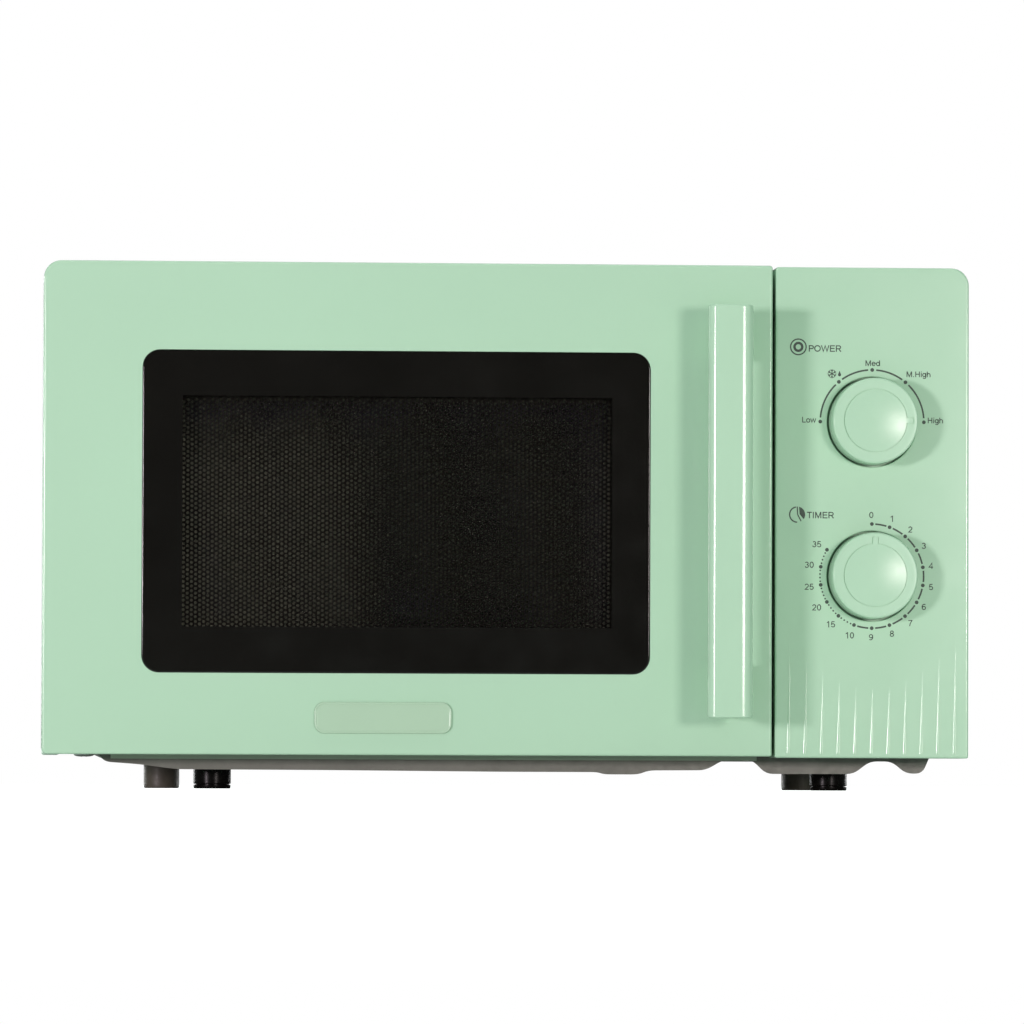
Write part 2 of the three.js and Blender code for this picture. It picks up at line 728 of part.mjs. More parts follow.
// Ribs up the lower part of the panel. Each grows from a point at its top to its full width and height
// at the bottom, slopes on its left and drops straight on its right. Their tops follow a shallow curve.
function ribs() {
  const low = PANEL.bottom + 2.2;
  const root = FACE_Y + 1;
  const middle = (RIB.count - 1) / 2;
  return Array.from({ length: RIB.count }, (_, index) => {
    const step = index - middle;
    const x = CONTROL_X + 0.6 + step * RIB.pitch;
    const high = RIB.lowest + RIB.rise * step ** 2;
    return new ConvexGeometry([
      new THREE.Vector3(x, FACE_Y, high),
      new THREE.Vector3(x, root, high),
      new THREE.Vector3(x - RIB.width, FACE_Y, low),
      new THREE.Vector3(x - RIB.width, root, low),
      new THREE.Vector3(x, FACE_Y - RIB.height, low),
      new THREE.Vector3(x, root, low),
    ]);
  });
}

// Sheet bracket that carries both rotary units behind the panel.
function controlBracket() {
  const y0 = FACE_Y + WELL_DEPTH + 2.4 + GAP;
  const x = CONTROL_X;
  return cut(
    block(x - 26, x + 26, y0, y0 + SHEET, 74, 212),
    rodY(5, x, y0 - 1, y0 + 3, POWER_Z, 16),
    rodY(5, x, y0 - 1, y0 + 3, TIMER_Z, 16),
  );
}

// Clockwork or switch housing behind the bracket, with a hole for its shaft.
function rotaryUnit(z, halfHeight, depth) {
  const y0 = FACE_Y + WELL_DEPTH + 2.4 + GAP * 2 + SHEET;
  const x = CONTROL_X;
  return cut(
    join(
      block(x - 23, x + 23, y0, y0 + depth, z - halfHeight, z + halfHeight),
      block(x - 17, x - 11, y0 + depth - 1, y0 + depth + 7, z - 10, z + 10),
      block(x + 11, x + 17, y0 + depth - 1, y0 + depth + 7, z - 10, z + 10),
    ),
    rodY(SHAFT_RADIUS + 0.5, x, y0 - 1, y0 + 12, z, 16),
  );
}

// Turned about +Z here with the front at -Z, then laid over so that the front faces -Y.
function knob() {
  const back = WELL_DEPTH - 0.8;
  const front = -KNOB_REACH;
  const edge = KNOB_RADIUS;
  const bore = SHAFT_RADIUS + GAP;
  const profile = [
    [0, front], [11, front + 0.5], [edge - 2, front + 1.7], [edge - 0.8, front + 2.4],
    [edge - 0.5, front + 3.4], [edge, back], [bore, back], [bore, -6], [0, -6],
  ];
  return turned(profile, 32).rotateX(-Math.PI / 2);
}

function controlShaft() {
  return rodY(SHAFT_RADIUS, 0, -5, 19, 0, 16);
}

// Plastic board behind the front plate: two windows for the hooks and a rib for the switches.
function latchBoard() {
  const y0 = BODY_FRONT_Y;
  return cut(
    join(
      block(103, 137, y0, y0 + 3, 45, 215),
      block(134, 137, y0, y0 + 30, 45, 215),
    ),
    block(108.5, 124, y0 - 1, y0 + 4, 56, 84),
    block(108.5, 124, y0 - 1, y0 + 4, 176, 204),
  );
}

// Snap-action switch with its button towards the hook and two terminals behind.
function doorSwitch() {
  return join(
    block(-5, 5, 0, 17, -14, 14),
    block(-1.5, 1.5, -2, 1, 5, 8),
    block(-0.4, 0.4, 16, 23, -9, -3),
    block(-0.4, 0.4, 16, 23, 3, 9),
  );
}

// ---- Mains ----

function noiseFilter() {
  return join(
    block(112, 208, 96, 142, 212, 214),
    rodZ(12, 136, 119, 213, 232, 20),
    block(158, 176, 110, 128, 213, 229),
    rodZ(4, 192, 119, 213, 234, 12),
  );
}

function wiringHarness() {
  const route = new THREE.CatmullRomCurve3([
    new THREE.Vector3(216, 138, 206),
    new THREE.Vector3(217, 90, 204),
    new THREE.Vector3(217, 10, 170),
    new THREE.Vector3(216, -50, 130),
    new THREE.Vector3(212, -92, 122),
  ]);
  const section = new THREE.Shape().absarc(0, 0, 3.2, 0, Math.PI * 2, false);
  return new THREE.ExtrudeGeometry(section, {
    extrudePath: route, steps: 20, bevelEnabled: false, curveSegments: 4,
  });
}

// ---- Assembly ----

const microwave = new THREE.Group();

place(microwave, 'outer_case', outerCase(), MINT);
place(microwave, 'front_frame', frontFrame(), ZINC);
place(microwave, 'base_plate', basePlate(), ZINC);
place(microwave, 'rear_panel', rearPanel(), ZINC);
place(microwave, 'cord_gland', cordGland(), DARK_PLASTIC);

const FEET = [
  ['foot_front_left', -141, -86, DARK_PLASTIC],
  ['foot_front_right', 164, -86, DARK_PLASTIC],
  ['foot_rear_left', -161, 130, GREY_FOOT],
  ['foot_rear_right', 172, 130, GREY_FOOT],
];
for (const [name, x, y, look] of FEET) {
  place(microwave, name, foot(PAN_FLOOR - GAP), look, x, y, 0);
}

place(microwave, 'cavity', cavity(), ENAMEL);
place(microwave, 'waveguide', waveguide(), ZINC);
place(microwave, 'waveguide_cover', waveguideCover(), WHITE_PLASTIC);
place(microwave, 'magnetron_body', magnetronBody(), STEEL);
place(microwave, 'magnetron_antenna', magnetronAntenna(), STEEL, MAGNETRON.x, MAGNETRON.y, 0);
place(microwave, 'transformer_core', transformerCore(), STEEL);
place(microwave, 'primary_winding', winding(CORE.bottom + 14.5, CORE.bottom + 32), COPPER);
place(microwave, 'secondary_winding', winding(CORE.bottom + 34, CORE.top - 14.5), COPPER);
place(microwave, 'capacitor', capacitor(), STEEL);
place(microwave, 'capacitor_clamp', capacitorClamp(), ZINC);
place(microwave, 'high_voltage_diode', highVoltageDiode(), DARK_PLASTIC);
place(microwave, 'thermal_cutout', thermalCutout(), WHITE_PLASTIC);

place(microwave, 'fan_duct', fanDuct(), WHITE_PLASTIC);
place(microwave, 'fan_motor', fanMotor(), STEEL);
place(microwave, 'fan_impeller', fanImpeller(), WHITE_PLASTIC, FAN.x, 170, FAN.z);

place(microwave, 'lamp_socket', lampSocket(), WHITE_PLASTIC);
const lamp = new THREE.Group();
lamp.position.set(155.4, -62, 214);
lamp.rotation.y = -Math.PI / 2;
place(lamp, 'lamp_bulb', lampBulb(), CLEAR);
microwave.add(lamp);

const turntable = new THREE.Group();
turntable.position.set(CAVITY_X, CAVITY_Y, 0);
place(turntable, 'turntable_motor', turntableMotor(), ZINC);
place(turntable, 'turntable_coupler', turntableCoupler(), WHITE_PLASTIC);
place(turntable, 'glass_tray', glassTray(), CLEAR, 0, 0, TRAY_Z);
const ring = new THREE.Group();
ring.position.z = ROLLER_Z;
place(ring, 'roller_ring', rollerRing(), WHITE_PLASTIC);
for (let index = 0; index < 3; index += 1) {
  const arm = new THREE.Group();
  arm.rotation.z = (index * Math.PI * 2) / 3;
  place(arm, `roller_${index + 1}`, roller(), WHITE_PLASTIC, ROLLER_TRACK, 0, 0);
  ring.add(arm);
}
turntable.add(ring);
microwave.add(turntable);

const door = new THREE.Group();
place(door, 'door_frame', doorFrame(), MINT);
place(door, 'window_glass', windowGlass(), BLACK_GLASS);
place(door, 'door_panel', doorPanel(), ZINC);
place(door, 'door_screen', doorScreen(), ZINC);
place(door, 'inner_window', innerWindow(), CLEAR);
place(door, 'choke_cover', chokeCover(), DARK_PLASTIC);
place(door, 'handle', handle(), MINT);
place(door, 'badge', badge(), MINT);
place(door, 'door_latch', doorLatch(), WHITE_PLASTIC);
place(door, 'latch_spring', latchSpring(), STEEL, LATCH.x, -132, LATCH.top + 1);
microwave.add(door);

place(microwave, 'upper_hinge', upperHinge(), ZINC);
place(microwave, 'lower_hinge', lowerHinge(), ZINC);
place(microwave, 'hinge_screw', hingeScrew(), STEEL);

place(microwave, 'control_panel', controlPanel(), MINT);
place(microwave, 'control_bracket', controlBracket(), ZINC);
place(microwave, 'timer_unit', rotaryUnit(TIMER_Z, 26, 38), WHITE_PLASTIC);
place(microwave, 'power_selector', rotaryUnit(POWER_Z, 22, 26), WHITE_PLASTIC);
for (const [name, z] of [['timer', TIMER_Z], ['power', POWER_Z]]) {
  const control = new THREE.Group();
  control.position.set(CONTROL_X, FACE_Y, z);
  place(control, `${name}_knob`, knob(), MINT);
  place(control, `${name}_shaft`, controlShaft(), WHITE_PLASTIC);
  microwave.add(control);
}

place(microwave, 'latch_board', latchBoard(), WHITE_PLASTIC);
place(microwave, 'primary_switch', doorSwitch(), DARK_PLASTIC, 115, -98, 190);
place(microwave, 'secondary_switch', doorSwitch(), DARK_PLASTIC, 115, -98, 70);
place(microwave, 'monitor_switch', doorSwitch(), DARK_PLASTIC, 127.5, -98, 70);

place(microwave, 'noise_filter', noiseFilter(), DARK_PLASTIC);
place(microwave, 'wiring_harness', wiringHarness(), DARK_PLASTIC);

export default microwave;
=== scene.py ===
"""Looks of a countertop microwave oven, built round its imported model.

Lengths in this file are millimetres, and piece() turns them into metres. +X is right, +Z up, and the
front faces -Y. Places come from the frame; the constants are sizes of details that the frame lacks.
"""

import json
import math

import bmesh
import bpy
from mathutils import Matrix, Vector


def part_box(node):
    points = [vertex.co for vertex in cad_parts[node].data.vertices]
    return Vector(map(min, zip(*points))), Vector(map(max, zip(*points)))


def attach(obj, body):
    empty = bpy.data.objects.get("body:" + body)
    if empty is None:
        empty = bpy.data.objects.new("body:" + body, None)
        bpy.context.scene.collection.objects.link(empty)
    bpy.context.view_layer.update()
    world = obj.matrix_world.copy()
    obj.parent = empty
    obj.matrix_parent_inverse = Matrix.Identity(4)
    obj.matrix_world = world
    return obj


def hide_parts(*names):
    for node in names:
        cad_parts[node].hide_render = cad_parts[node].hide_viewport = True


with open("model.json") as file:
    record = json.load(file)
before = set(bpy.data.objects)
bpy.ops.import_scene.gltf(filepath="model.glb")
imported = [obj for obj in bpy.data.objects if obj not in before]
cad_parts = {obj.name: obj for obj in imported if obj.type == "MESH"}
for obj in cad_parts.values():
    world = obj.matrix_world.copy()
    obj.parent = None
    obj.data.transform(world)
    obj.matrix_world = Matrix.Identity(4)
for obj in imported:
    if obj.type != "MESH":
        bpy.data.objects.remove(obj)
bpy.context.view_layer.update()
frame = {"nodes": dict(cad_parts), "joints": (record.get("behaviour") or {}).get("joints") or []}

MM = 0.001

# Where the viewer stands, measured from the middle of the front face, and how the lens is turned.
CAMERA_PLACE = (-253.7, -3952.5, 2.5)
CAMERA_TURN = 3.852
CAMERA_TILT = 1.99
CAMERA_ROLL = 0.20
CAMERA_LENS = 275.7
SENSOR = 36.0


class Span:
    """A CAD node's box in millimetres."""

    def __init__(self, node):
        low, high = [[value / MM for value in corner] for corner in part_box(node)]
        self.left, self.front, self.bottom = low
        self.right, self.back, self.top = high
        self.x, self.y, self.z = [(a + b) / 2 for a, b in zip(low, high)]


DOOR = Span("door_frame")
PANE = Span("window_glass")
SCREEN = Span("door_screen")
PANEL = Span("control_panel")
TIMER = Span("timer_knob")
POWER = Span("power_knob")
CASE = Span("outer_case")
CAVITY = Span("cavity")
FACE = DOOR.front
JOINTS = {joint["name"]: joint for joint in frame["joints"]}
HINGE_X, HINGE_Y = [value / MM for value in JOINTS["door_hinge"]["pos_m"][:2]]

# ---- Outlines ----


def arc(x, y, radius, start, end, steps):
    """Points along a circle, angles in degrees."""
    angles = [math.radians(start + (end - start) * step / steps) for step in range(steps + 1)]
    return [(x + radius * math.cos(a), y + radius * math.sin(a)) for a in angles]


def rounded(left, right, bottom, top, radii, steps=8):
    """A rectangle with its own radius at each corner: top left, top right, bottom right, bottom left."""
    tl, tr, br, bl = [max(radius, 0.05) for radius in radii]
    return (
        arc(left + bl, bottom + bl, bl, 180, 270, steps)
        + arc(right - br, bottom + br, br, 270, 360, steps)
        + arc(right - tr, top - tr, tr, 0, 90, steps)
        + arc(left + tl, top - tl, tl, 90, 180, steps)
    )


def inset_box(span, inset, radii, steps=8):
    """The outline of a box seen from the front, drawn in by inset."""
    sides = (span.left + inset, span.right - inset, span.bottom + inset, span.top - inset)
    return rounded(*sides, [radius - inset for radius in radii], steps)


def facing(outline, y):
    """An X-Z outline placed at a depth."""
    return [(x, y, z) for x, z in outline]


def level(outline, z):
    """An X-Y outline placed at a height."""
    return [(x, y, z) for x, y in outline]


def fillet(radius, steps=4):
    """Pairs of inset and depth that round an edge off, from its face to its side."""
    turns = [math.radians(90 * step / steps) for step in range(steps + 1)]
    return [(radius * (1 - math.sin(a)), radius * (1 - math.cos(a))) for a in turns]


# ---- Meshes ----


def loft(mesh, loops, wrap=False):
    """Skins loops of equal length. The ends are capped, or joined to each other when wrap is true."""
    rows = [[mesh.verts.new(point) for point in loop] for loop in loops]
    pairs = list(zip(rows, rows[1:]))
    if wrap:
        pairs.append((rows[-1], rows[0]))
    else:
        mesh.faces.new(rows[0])
        mesh.faces.new(rows[-1][::-1])
    for one, two in pairs:
        for i in range(len(one)):
            j = (i + 1) % len(one)
            mesh.faces.new((one[j], one[i], two[i], two[j]))
    return mesh


def solid(name, loops, wrap=False):
    """A new object skinned from loops."""
    return to_object(loft(bmesh.new(), loops, wrap), name)


def lathe(mesh, profile, place=None, steps=64):
    """Turns a closed or axis-to-axis profile of (radius, height) about Z, then moves it by place."""
    place = place or Matrix.Identity(4)
    rows = []
    for radius, height in profile:
        if radius < 1e-6:
            rows.append([mesh.verts.new(place @ Vector((0, 0, height)))])
            continue
        angles = [2 * math.pi * step / steps for step in range(steps)]
        points = [(radius * math.cos(a), radius * math.sin(a), height) for a in angles]
        rows.append([mesh.verts.new(place @ Vector(point)) for point in points])
    pairs = list(zip(rows, rows[1:]))
    if len(rows[0]) > 1:
        pairs.append((rows[-1], rows[0]))
    for one, two in pairs:
        for i in range(steps):
            j = (i + 1) % steps
            corners = [one[i % len(one)], one[j % len(one)], two[j % len(two)], two[i % len(two)]]
            mesh.faces.new(list(dict.fromkeys(corners)))
    return mesh


def block(mesh, x0, x1, y0, y1, z0, z1):
    """A box between two values on each axis."""
    return loft(mesh, [level([(x0, y0), (x1, y0), (x1, y1), (x0, y1)], z) for z in (z0, z1)])


def rod(mesh, axis, radius, centre, start, end, steps=32):
    """A round bar along an axis. The centre's own value along that axis isn't used."""
    turn = {"X": Matrix.Rotation(math.pi / 2, 4, "Y"), "Y": Matrix.Rotation(-math.pi / 2, 4, "X"),
            "Z": Matrix.Identity(4)}[axis]
    where = Vector(centre)
    where["XYZ".index(axis)] = 0
    return lathe(mesh, [(0, start), (radius, start), (radius, end), (0, end)],
                 Matrix.Translation(where) @ turn, steps)


def outward(x, z, y=0.0):
    """Lays a turned piece on its side so that its height points to the front, from depth y."""
    return Matrix.Translation((x, y, z)) @ Matrix.Rotation(math.pi / 2, 4, "X")


def slot_y(mesh, x0, x1, z0, z1, y0, y1):
    """A bar along Y whose section is a slot with round ends."""
    radius = min(x1 - x0, z1 - z0) / 2
    outline = rounded(x0, x1, z0, z1, [radius - 0.001] * 4, 6)
    return loft(mesh, [facing(outline, y) for y in (y0, y1)])


def place_object(name, data):
    """A new object in the scene."""
    made = bpy.data.objects.new(name, data)
    bpy.context.scene.collection.objects.link(made)
    return made


def to_object(mesh, name, clean=True):
    """A new object from a mesh in millimetres. Clean turns its faces outwards and joins its points."""
    if clean:
        bmesh.ops.remove_doubles(mesh, verts=mesh.verts, dist=1e-4)
        bmesh.ops.recalc_face_normals(mesh, faces=mesh.faces)
    data = bpy.data.meshes.new(name)
    mesh.to_mesh(data)
    mesh.free()
    data.transform(Matrix.Scale(MM, 4))
    return place_object(name, data)


def modify(target, name, kind, **settings):
    """Adds a modifier."""
    modifier = target.modifiers.new(name, kind)
    for key, value in settings.items():
        setattr(modifier, key, value)
    return target


def settle(target):
    """Applies an object's modifiers to its mesh."""
    ready = target.evaluated_get(bpy.context.evaluated_depsgraph_get())
    data = bpy.data.meshes.new_from_object(ready)
    target.modifiers.clear()
    old = target.data
    target.data = data
    data.name = target.name
    bpy.data.meshes.remove(old)
    return target


def carve(target, mesh, operation="DIFFERENCE"):
    """Cuts, joins or keeps what is common with a second mesh in millimetres."""
    tool = to_object(mesh, "tool")
    settle(modify(target, "carve", "BOOLEAN", operation=operation, solver="EXACT", object=tool))
    bpy.data.objects.remove(tool)
    return target


def thicken(target, depth):
    """Gives a sheet its thickness, behind the side that it faces."""
    return settle(modify(target, "thicken", "SOLIDIFY", thickness=depth * MM, offset=-1,
                         use_even_offset=True))


def soften(target, width, angle=32):
    """Rounds off an object's sharp edges by a width in millimetres."""
    return modify(target, "soften", "BEVEL", width=width * MM, segments=2, limit_method="ANGLE",
                  angle_limit=math.radians(angle))


def dress(target, look):
    """Smooth shading and a material."""
    target.data.shade_smooth()
    target.data.materials.clear()
    target.data.materials.append(LOOKS[look])


def even_light(target):
    """Shades the flat faces flat, beside the rounded edges."""
    return modify(target, "even_light", "WEIGHTED_NORMAL", keep_sharp=True)


def piece(target, body, look, replaces=(), sharp=38):
    """Finishes a piece: its shading and material, its body and the nodes that it stands for."""
    dress(target, look)
    target.data.set_sharp_from_angle(angle=math.radians(sharp))
    even_light(target)
    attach(target, body)
    if replaces:
        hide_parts(*replaces)
    return target


# ---- Materials ----


def linear(red, green, blue):
    """Screen colour, 0 to 255, as linear light."""
    values = [value / 255 for value in (red, green, blue)]
    return [v / 12.92 if v <= 0.04045 else ((v + 0.055) / 1.055) ** 2.4 for v in values] + [1.0]


class Nodes:
    """Short hand for one material's node tree."""

    def __init__(self, name):
        self.material = bpy.data.materials.new(name)
        self.material.use_nodes = True
        self.tree = self.material.node_tree
        self.shader = self.tree.nodes["Principled BSDF"]
        self.output = self.tree.nodes["Material Output"]
        self.place = self.add("ShaderNodeTexCoord").outputs["Object"]

    def add(self, kind, inputs=None, **settings):
        node = self.tree.nodes.new(kind)
        for key, value in settings.items():
            setattr(node, key, value)
        for key, value in (inputs or {}).items():
            self.give(node.inputs[key], value)
        return node

    def give(self, socket, value):
        if isinstance(value, bpy.types.NodeSocket):
            self.tree.links.new(value, socket)
        else:
            socket.default_value = value

    def noise(self, size, detail=3.0, stretch=(1, 1, 1)):
        """Noise whose features are about size millimetres, drawn out along an axis by stretch."""
        place = self.place
        if stretch != (1, 1, 1):
            scale = [1 / factor for factor in stretch]
            place = self.add("ShaderNodeMapping", {"Vector": place, "Scale": scale}).outputs[0]
        inputs = {"Vector": place, "Scale": 1 / (size * MM), "Detail": detail}
        return self.add("ShaderNodeTexNoise", inputs).outputs["Fac"]

    def spread(self, value, low, high):
        """Stretches noise, which stays near its middle, over a range."""
        inputs = {"Value": value, "From Min": 0.3, "From Max": 0.7, "To Min": low, "To Max": high}
        return self.add("ShaderNodeMapRange", inputs).outputs["Result"]

    def times(self, one, two):
        return self.add("ShaderNodeMath", {0: one, 1: two}, operation="MULTIPLY").outputs[0]

    def blend(self, factor, one, two):
        node = self.add("ShaderNodeMix", data_type="RGBA")
        self.give(node.inputs["Factor"], factor)
        self.give(node.inputs[6], one)
        self.give(node.inputs[7], two)
        return node.outputs[2]

    def mix(self, factor, one, two):
        """Shows one shader, and the second by factor."""
        mixed = self.add("ShaderNodeMixShader", {0: factor, 1: one.outputs[0], 2: two.outputs[0]})
        self.give(self.output.inputs["Surface"], mixed.outputs[0])

    def bump(self, height, depth):
        inputs = {"Height": height, "Distance": depth * MM, "Strength": 1.0}
        self.give(self.shader.inputs["Normal"], self.add("ShaderNodeBump", inputs).outputs["Normal"])

    def sockets(self, **values):
        names = {"metallic": "Metallic", "specular": "Specular IOR Level",
                 "transmission": "Transmission Weight", "ior": "IOR"}
        for key, value in values.items():
            self.shader.inputs[names[key]].default_value = value


def surface(name, colour, roughness, rough_spread, tone, patch, grain, relief, stretch=(1, 1, 1),
            **sockets):
    """A surface with slow tone changes, uneven gloss and a fine relief."""
    nodes = Nodes(name)
    base = linear(*colour)
    darker = [value * (1 - tone) for value in base[:3]] + [1.0]
    lighter = [min(value * (1 + tone), 1.0) for value in base[:3]] + [1.0]
    slow = nodes.spread(nodes.noise(patch, 4.0, stretch), 0.0, 1.0)
    fine = nodes.noise(grain, 4.0, stretch)
    nodes.give(nodes.shader.inputs["Base Color"], nodes.blend(slow, darker, lighter))
    gloss = nodes.spread(nodes.noise(patch / 5, 5.0, stretch), roughness - rough_spread,
                         roughness + rough_spread)
    nodes.give(nodes.shader.inputs["Roughness"], gloss)
    nodes.bump(fine, relief)
    nodes.sockets(**sockets)
    return nodes.material


def clear(name, tint, roughness):
    """Thin clear sheet: tinted light goes straight through and its face reflects."""
    nodes = Nodes(name)
    nodes.give(nodes.shader.inputs["Base Color"], linear(10, 10, 10))
    nodes.give(nodes.shader.inputs["Roughness"],
               nodes.spread(nodes.noise(30), roughness * 0.6, roughness * 1.6))
    haze = nodes.spread(nodes.noise(12, 5.0), 0.9, 1.0)
    through = nodes.add("ShaderNodeBsdfTransparent")
    nodes.give(through.inputs["Color"], nodes.blend(haze, [v * 0.93 for v in tint[:3]] + [1], tint))
    nodes.mix(nodes.add("ShaderNodeFresnel", {"IOR": 1.45}).outputs[0], through, nodes.shader)
    return nodes.material


# The plain border round the screen's holes, and how much light the pane lets through over the holes.
SCREEN_BORDER = 8.3
PANE_CLEARNESS = 0.96


def window_look():
    """Smoked pane: printed black at its border, and see-through only over the screen."""
    nodes = Nodes("black_window")
    dark = nodes.spread(nodes.noise(50), 0.0, 1.0)
    nodes.give(nodes.shader.inputs["Base Color"],
               nodes.blend(dark, linear(19, 18, 16), linear(23, 22, 20)))
    nodes.give(nodes.shader.inputs["Roughness"], nodes.spread(nodes.noise(25, 5.0), 0.06, 0.12))
    nodes.sockets(specular=0.5)
    across = nodes.add("ShaderNodeSeparateXYZ", {0: nodes.place})
    inside = 1.0
    border = SCREEN_BORDER - 0.3
    for axis, low, high in (("X", SCREEN.left + border, SCREEN.right - border),
                            ("Z", SCREEN.bottom + border, SCREEN.top - border)):
        middle = (low + high) / 2 * MM
        reach = (high - low) / 2 * MM
        near = nodes.add("ShaderNodeMath", {0: across.outputs[axis], 1: middle, 2: reach},
                         operation="COMPARE").outputs[0]
        inside = nodes.times(inside, near)
    through = nodes.add("ShaderNodeBsdfTransparent", {"Color": (0.97, 0.96, 0.93, 1)})
    nodes.mix(nodes.times(inside, PANE_CLEARNESS), nodes.shader, through)
    return nodes.material


MINT_SCREEN = (186, 222, 194)
BADGE_SCREEN = (182, 212, 185)

# Each surface: its colour on a screen, its roughness and how far that varies, how far its tone varies,
# the size of its patches and of its grain, the depth of its relief, and its other settings.
FINISHES = {
    "mint_plastic": (MINT_SCREEN, 0.15, 0.015, 0.012, 90, 2.4, 0.0012, {}),
    "knob_plastic": (MINT_SCREEN, 0.21, 0.02, 0.012, 30, 1.6, 0.0012, {"specular": 0.24}),
    "badge_plastic": (BADGE_SCREEN, 0.2, 0.02, 0.015, 20, 1.2, 0.002, {}),
    "mint_paint": (MINT_SCREEN, 0.4, 0.03, 0.012, 120, 0.9, 0.006, {}),
    "tray_glass": ((238, 246, 243), 0.04, 0.02, 0.01, 60, 6, 0.002, {"transmission": 1.0, "ior": 1.5}),
    "lamp_glass": ((250, 248, 240), 0.03, 0.01, 0.01, 60, 1.0, 0.001, {"transmission": 1.0, "ior": 1.5}),
    "galvanised": ((158, 163, 158), 0.42, 0.1, 0.16, 9, 0.7, 0.006, {"metallic": 0.75}),
    "pan_steel": ((116, 116, 110), 0.5, 0.1, 0.07, 14, 0.8, 0.008, {"metallic": 0.35}),
    # Front plate: its mint paint drawn greyer and darker as painted shade, for the shade under the door's
    # lower edge.
    "front_plate_paint": ((172, 186, 168), 0.36, 0.05, 0.03, 40, 0.9, 0.008, {}),
    "cavity_enamel": ((206, 208, 202), 0.34, 0.06, 0.03, 30, 0.8, 0.01, {}),
    "screen_steel": ((16, 16, 14), 0.6, 0.1, 0.2, 4, 0.4, 0.004, {"specular": 0.08}),
    "black_plastic": ((30, 30, 29), 0.42, 0.08, 0.1, 20, 0.35, 0.012, {}),
    "black_rubber": ((11, 10, 8), 0.26, 0.06, 0.12, 6, 0.5, 0.006, {"specular": 0.12}),
    # Rear feet: the same black rubber as the front feet, drawn grey-brown as painted light for the glow that
    # reaches them under the body.
    "grey_rubber": ((96, 93, 81), 0.5, 0.1, 0.12, 5, 0.4, 0.02, {}),
    "white_plastic": ((224, 222, 214), 0.45, 0.06, 0.03, 20, 0.6, 0.008, {}),
    "mica": ((188, 172, 140), 0.4, 0.12, 0.14, 7, 0.8, 0.02, {}),
    "core_steel": ((98, 96, 92), 0.5, 0.1, 0.2, 4, 0.5, 0.02, {"stretch": (20, 20, 1), "metallic": 0.7}),
    "copper": ((176, 98, 58), 0.35, 0.08, 0.12, 3, 0.6, 0.03, {"stretch": (12, 12, 1), "metallic": 0.9}),
    "zinc_steel": ((172, 174, 172), 0.3, 0.1, 0.1, 5, 0.4, 0.006, {"metallic": 0.9}),
    "board": ((120, 134, 78), 0.5, 0.08, 0.12, 6, 0.5, 0.01, {}),
    "cable": ((36, 38, 42), 0.45, 0.06, 0.15, 8, 0.5, 0.01, {}),
    "dial_print": ((60, 77, 67), 0.5, 0.08, 0.06, 3, 0.3, 0.004, {}),
}
LOOKS = {name: surface(name, *values, **settings) for name, (*values, settings) in FINISHES.items()}
LOOKS["black_window"] = window_look()
LOOKS["clear_film"] = clear("clear_film", (0.97, 0.98, 0.97, 1), 0.12)

# ---- Door ----

DOOR_WALL = 3.0
DOOR_CORNERS = [8.6, 1.5, 1.0, 2.6]
EDGE_ROUND = 1.2
FLANGE = 3.0
WINDOW_CORNER = 8.5
WINDOW_CHAMFER = 0.12

# Round the hinge pins: the bosses, the holes in them, and the slots for the hinges' leaves.
BOSS_HALF = 6.5
BOSS_HEIGHTS = ((DOOR.bottom + 2.8, 33), (231, 245.6))
PIN_HOLE_RADIUS = 3.3
PIN_HOLE_HEIGHTS = ((DOOR.bottom - 1, 30.5), (233.5, 247))
LEAF_SLOT_HEIGHTS = ((DOOR.bottom - 1, DOOR.bottom + 2.6), (245.7, 248.3))
LEAF_SLOT_END = -195
HINGE_CLEARANCE = 13.4


def window_outline(inset):
    """The opening in the door, which the pane's flange passes by FLANGE all round."""
    return inset_box(PANE, FLANGE + inset, [WINDOW_CORNER + FLANGE] * 4)


def moulded_walls(outline, front, back, wall):
    """Loops from the edge of a moulded face, round its walls, to the back of that face."""
    loops = [facing(outline(inset), front + depth) for inset, depth in fillet(EDGE_ROUND)]
    loops += [
        facing(outline(0), back - 0.4),
        facing(outline(0.4), back),
        facing(outline(wall - 0.3), back),
        facing(outline(wall), back - 0.4),
        facing(outline(wall), front + wall),
    ]
    return loops


def door_shell():
    """Moulded frame with the window's opening and, at its left edge, room for the two hinges."""
    outline = lambda inset: inset_box(DOOR, inset, DOOR_CORNERS)
    loops = [
        facing(window_outline(0), FACE + DOOR_WALL),
        facing(window_outline(0), FACE + WINDOW_CHAMFER),
        facing(window_outline(-WINDOW_CHAMFER), FACE),
    ]
    loops += moulded_walls(outline, FACE, DOOR.back, DOOR_WALL)
    shell = solid("door_shell", loops, wrap=True)
    boss = bmesh.new()
    for z0, z1 in BOSS_HEIGHTS:
        block(boss, DOOR.left + 1, HINGE_X + BOSS_HALF, HINGE_Y - BOSS_HALF, HINGE_Y + BOSS_HALF, z0, z1)
    carve(shell, boss, "UNION")
    outside = arc(HINGE_X, HINGE_Y, HINGE_CLEARANCE, 180, 90, 16)
    outside += [(HINGE_X, DOOR.back + 2), (DOOR.left - 2, DOOR.back + 2), (DOOR.left - 2, HINGE_Y)]
    heights = (DOOR.bottom - 1, DOOR.top + 1)
    carve(shell, loft(bmesh.new(), [level(outside, z) for z in heights]))
    holes = bmesh.new()
    for z0, z1 in PIN_HOLE_HEIGHTS:
        rod(holes, "Z", PIN_HOLE_RADIUS, (HINGE_X, HINGE_Y, 0), z0, z1)
    carve(shell, holes)
    slots = bmesh.new()
    for z0, z1 in LEAF_SLOT_HEIGHTS:
        block(slots, DOOR.left - 1, LEAF_SLOT_END, FACE + 8, DOOR.back + 1, z0, z1)
    carve(shell, slots)
    return piece(shell, "door", "mint_plastic", ["door_frame"])


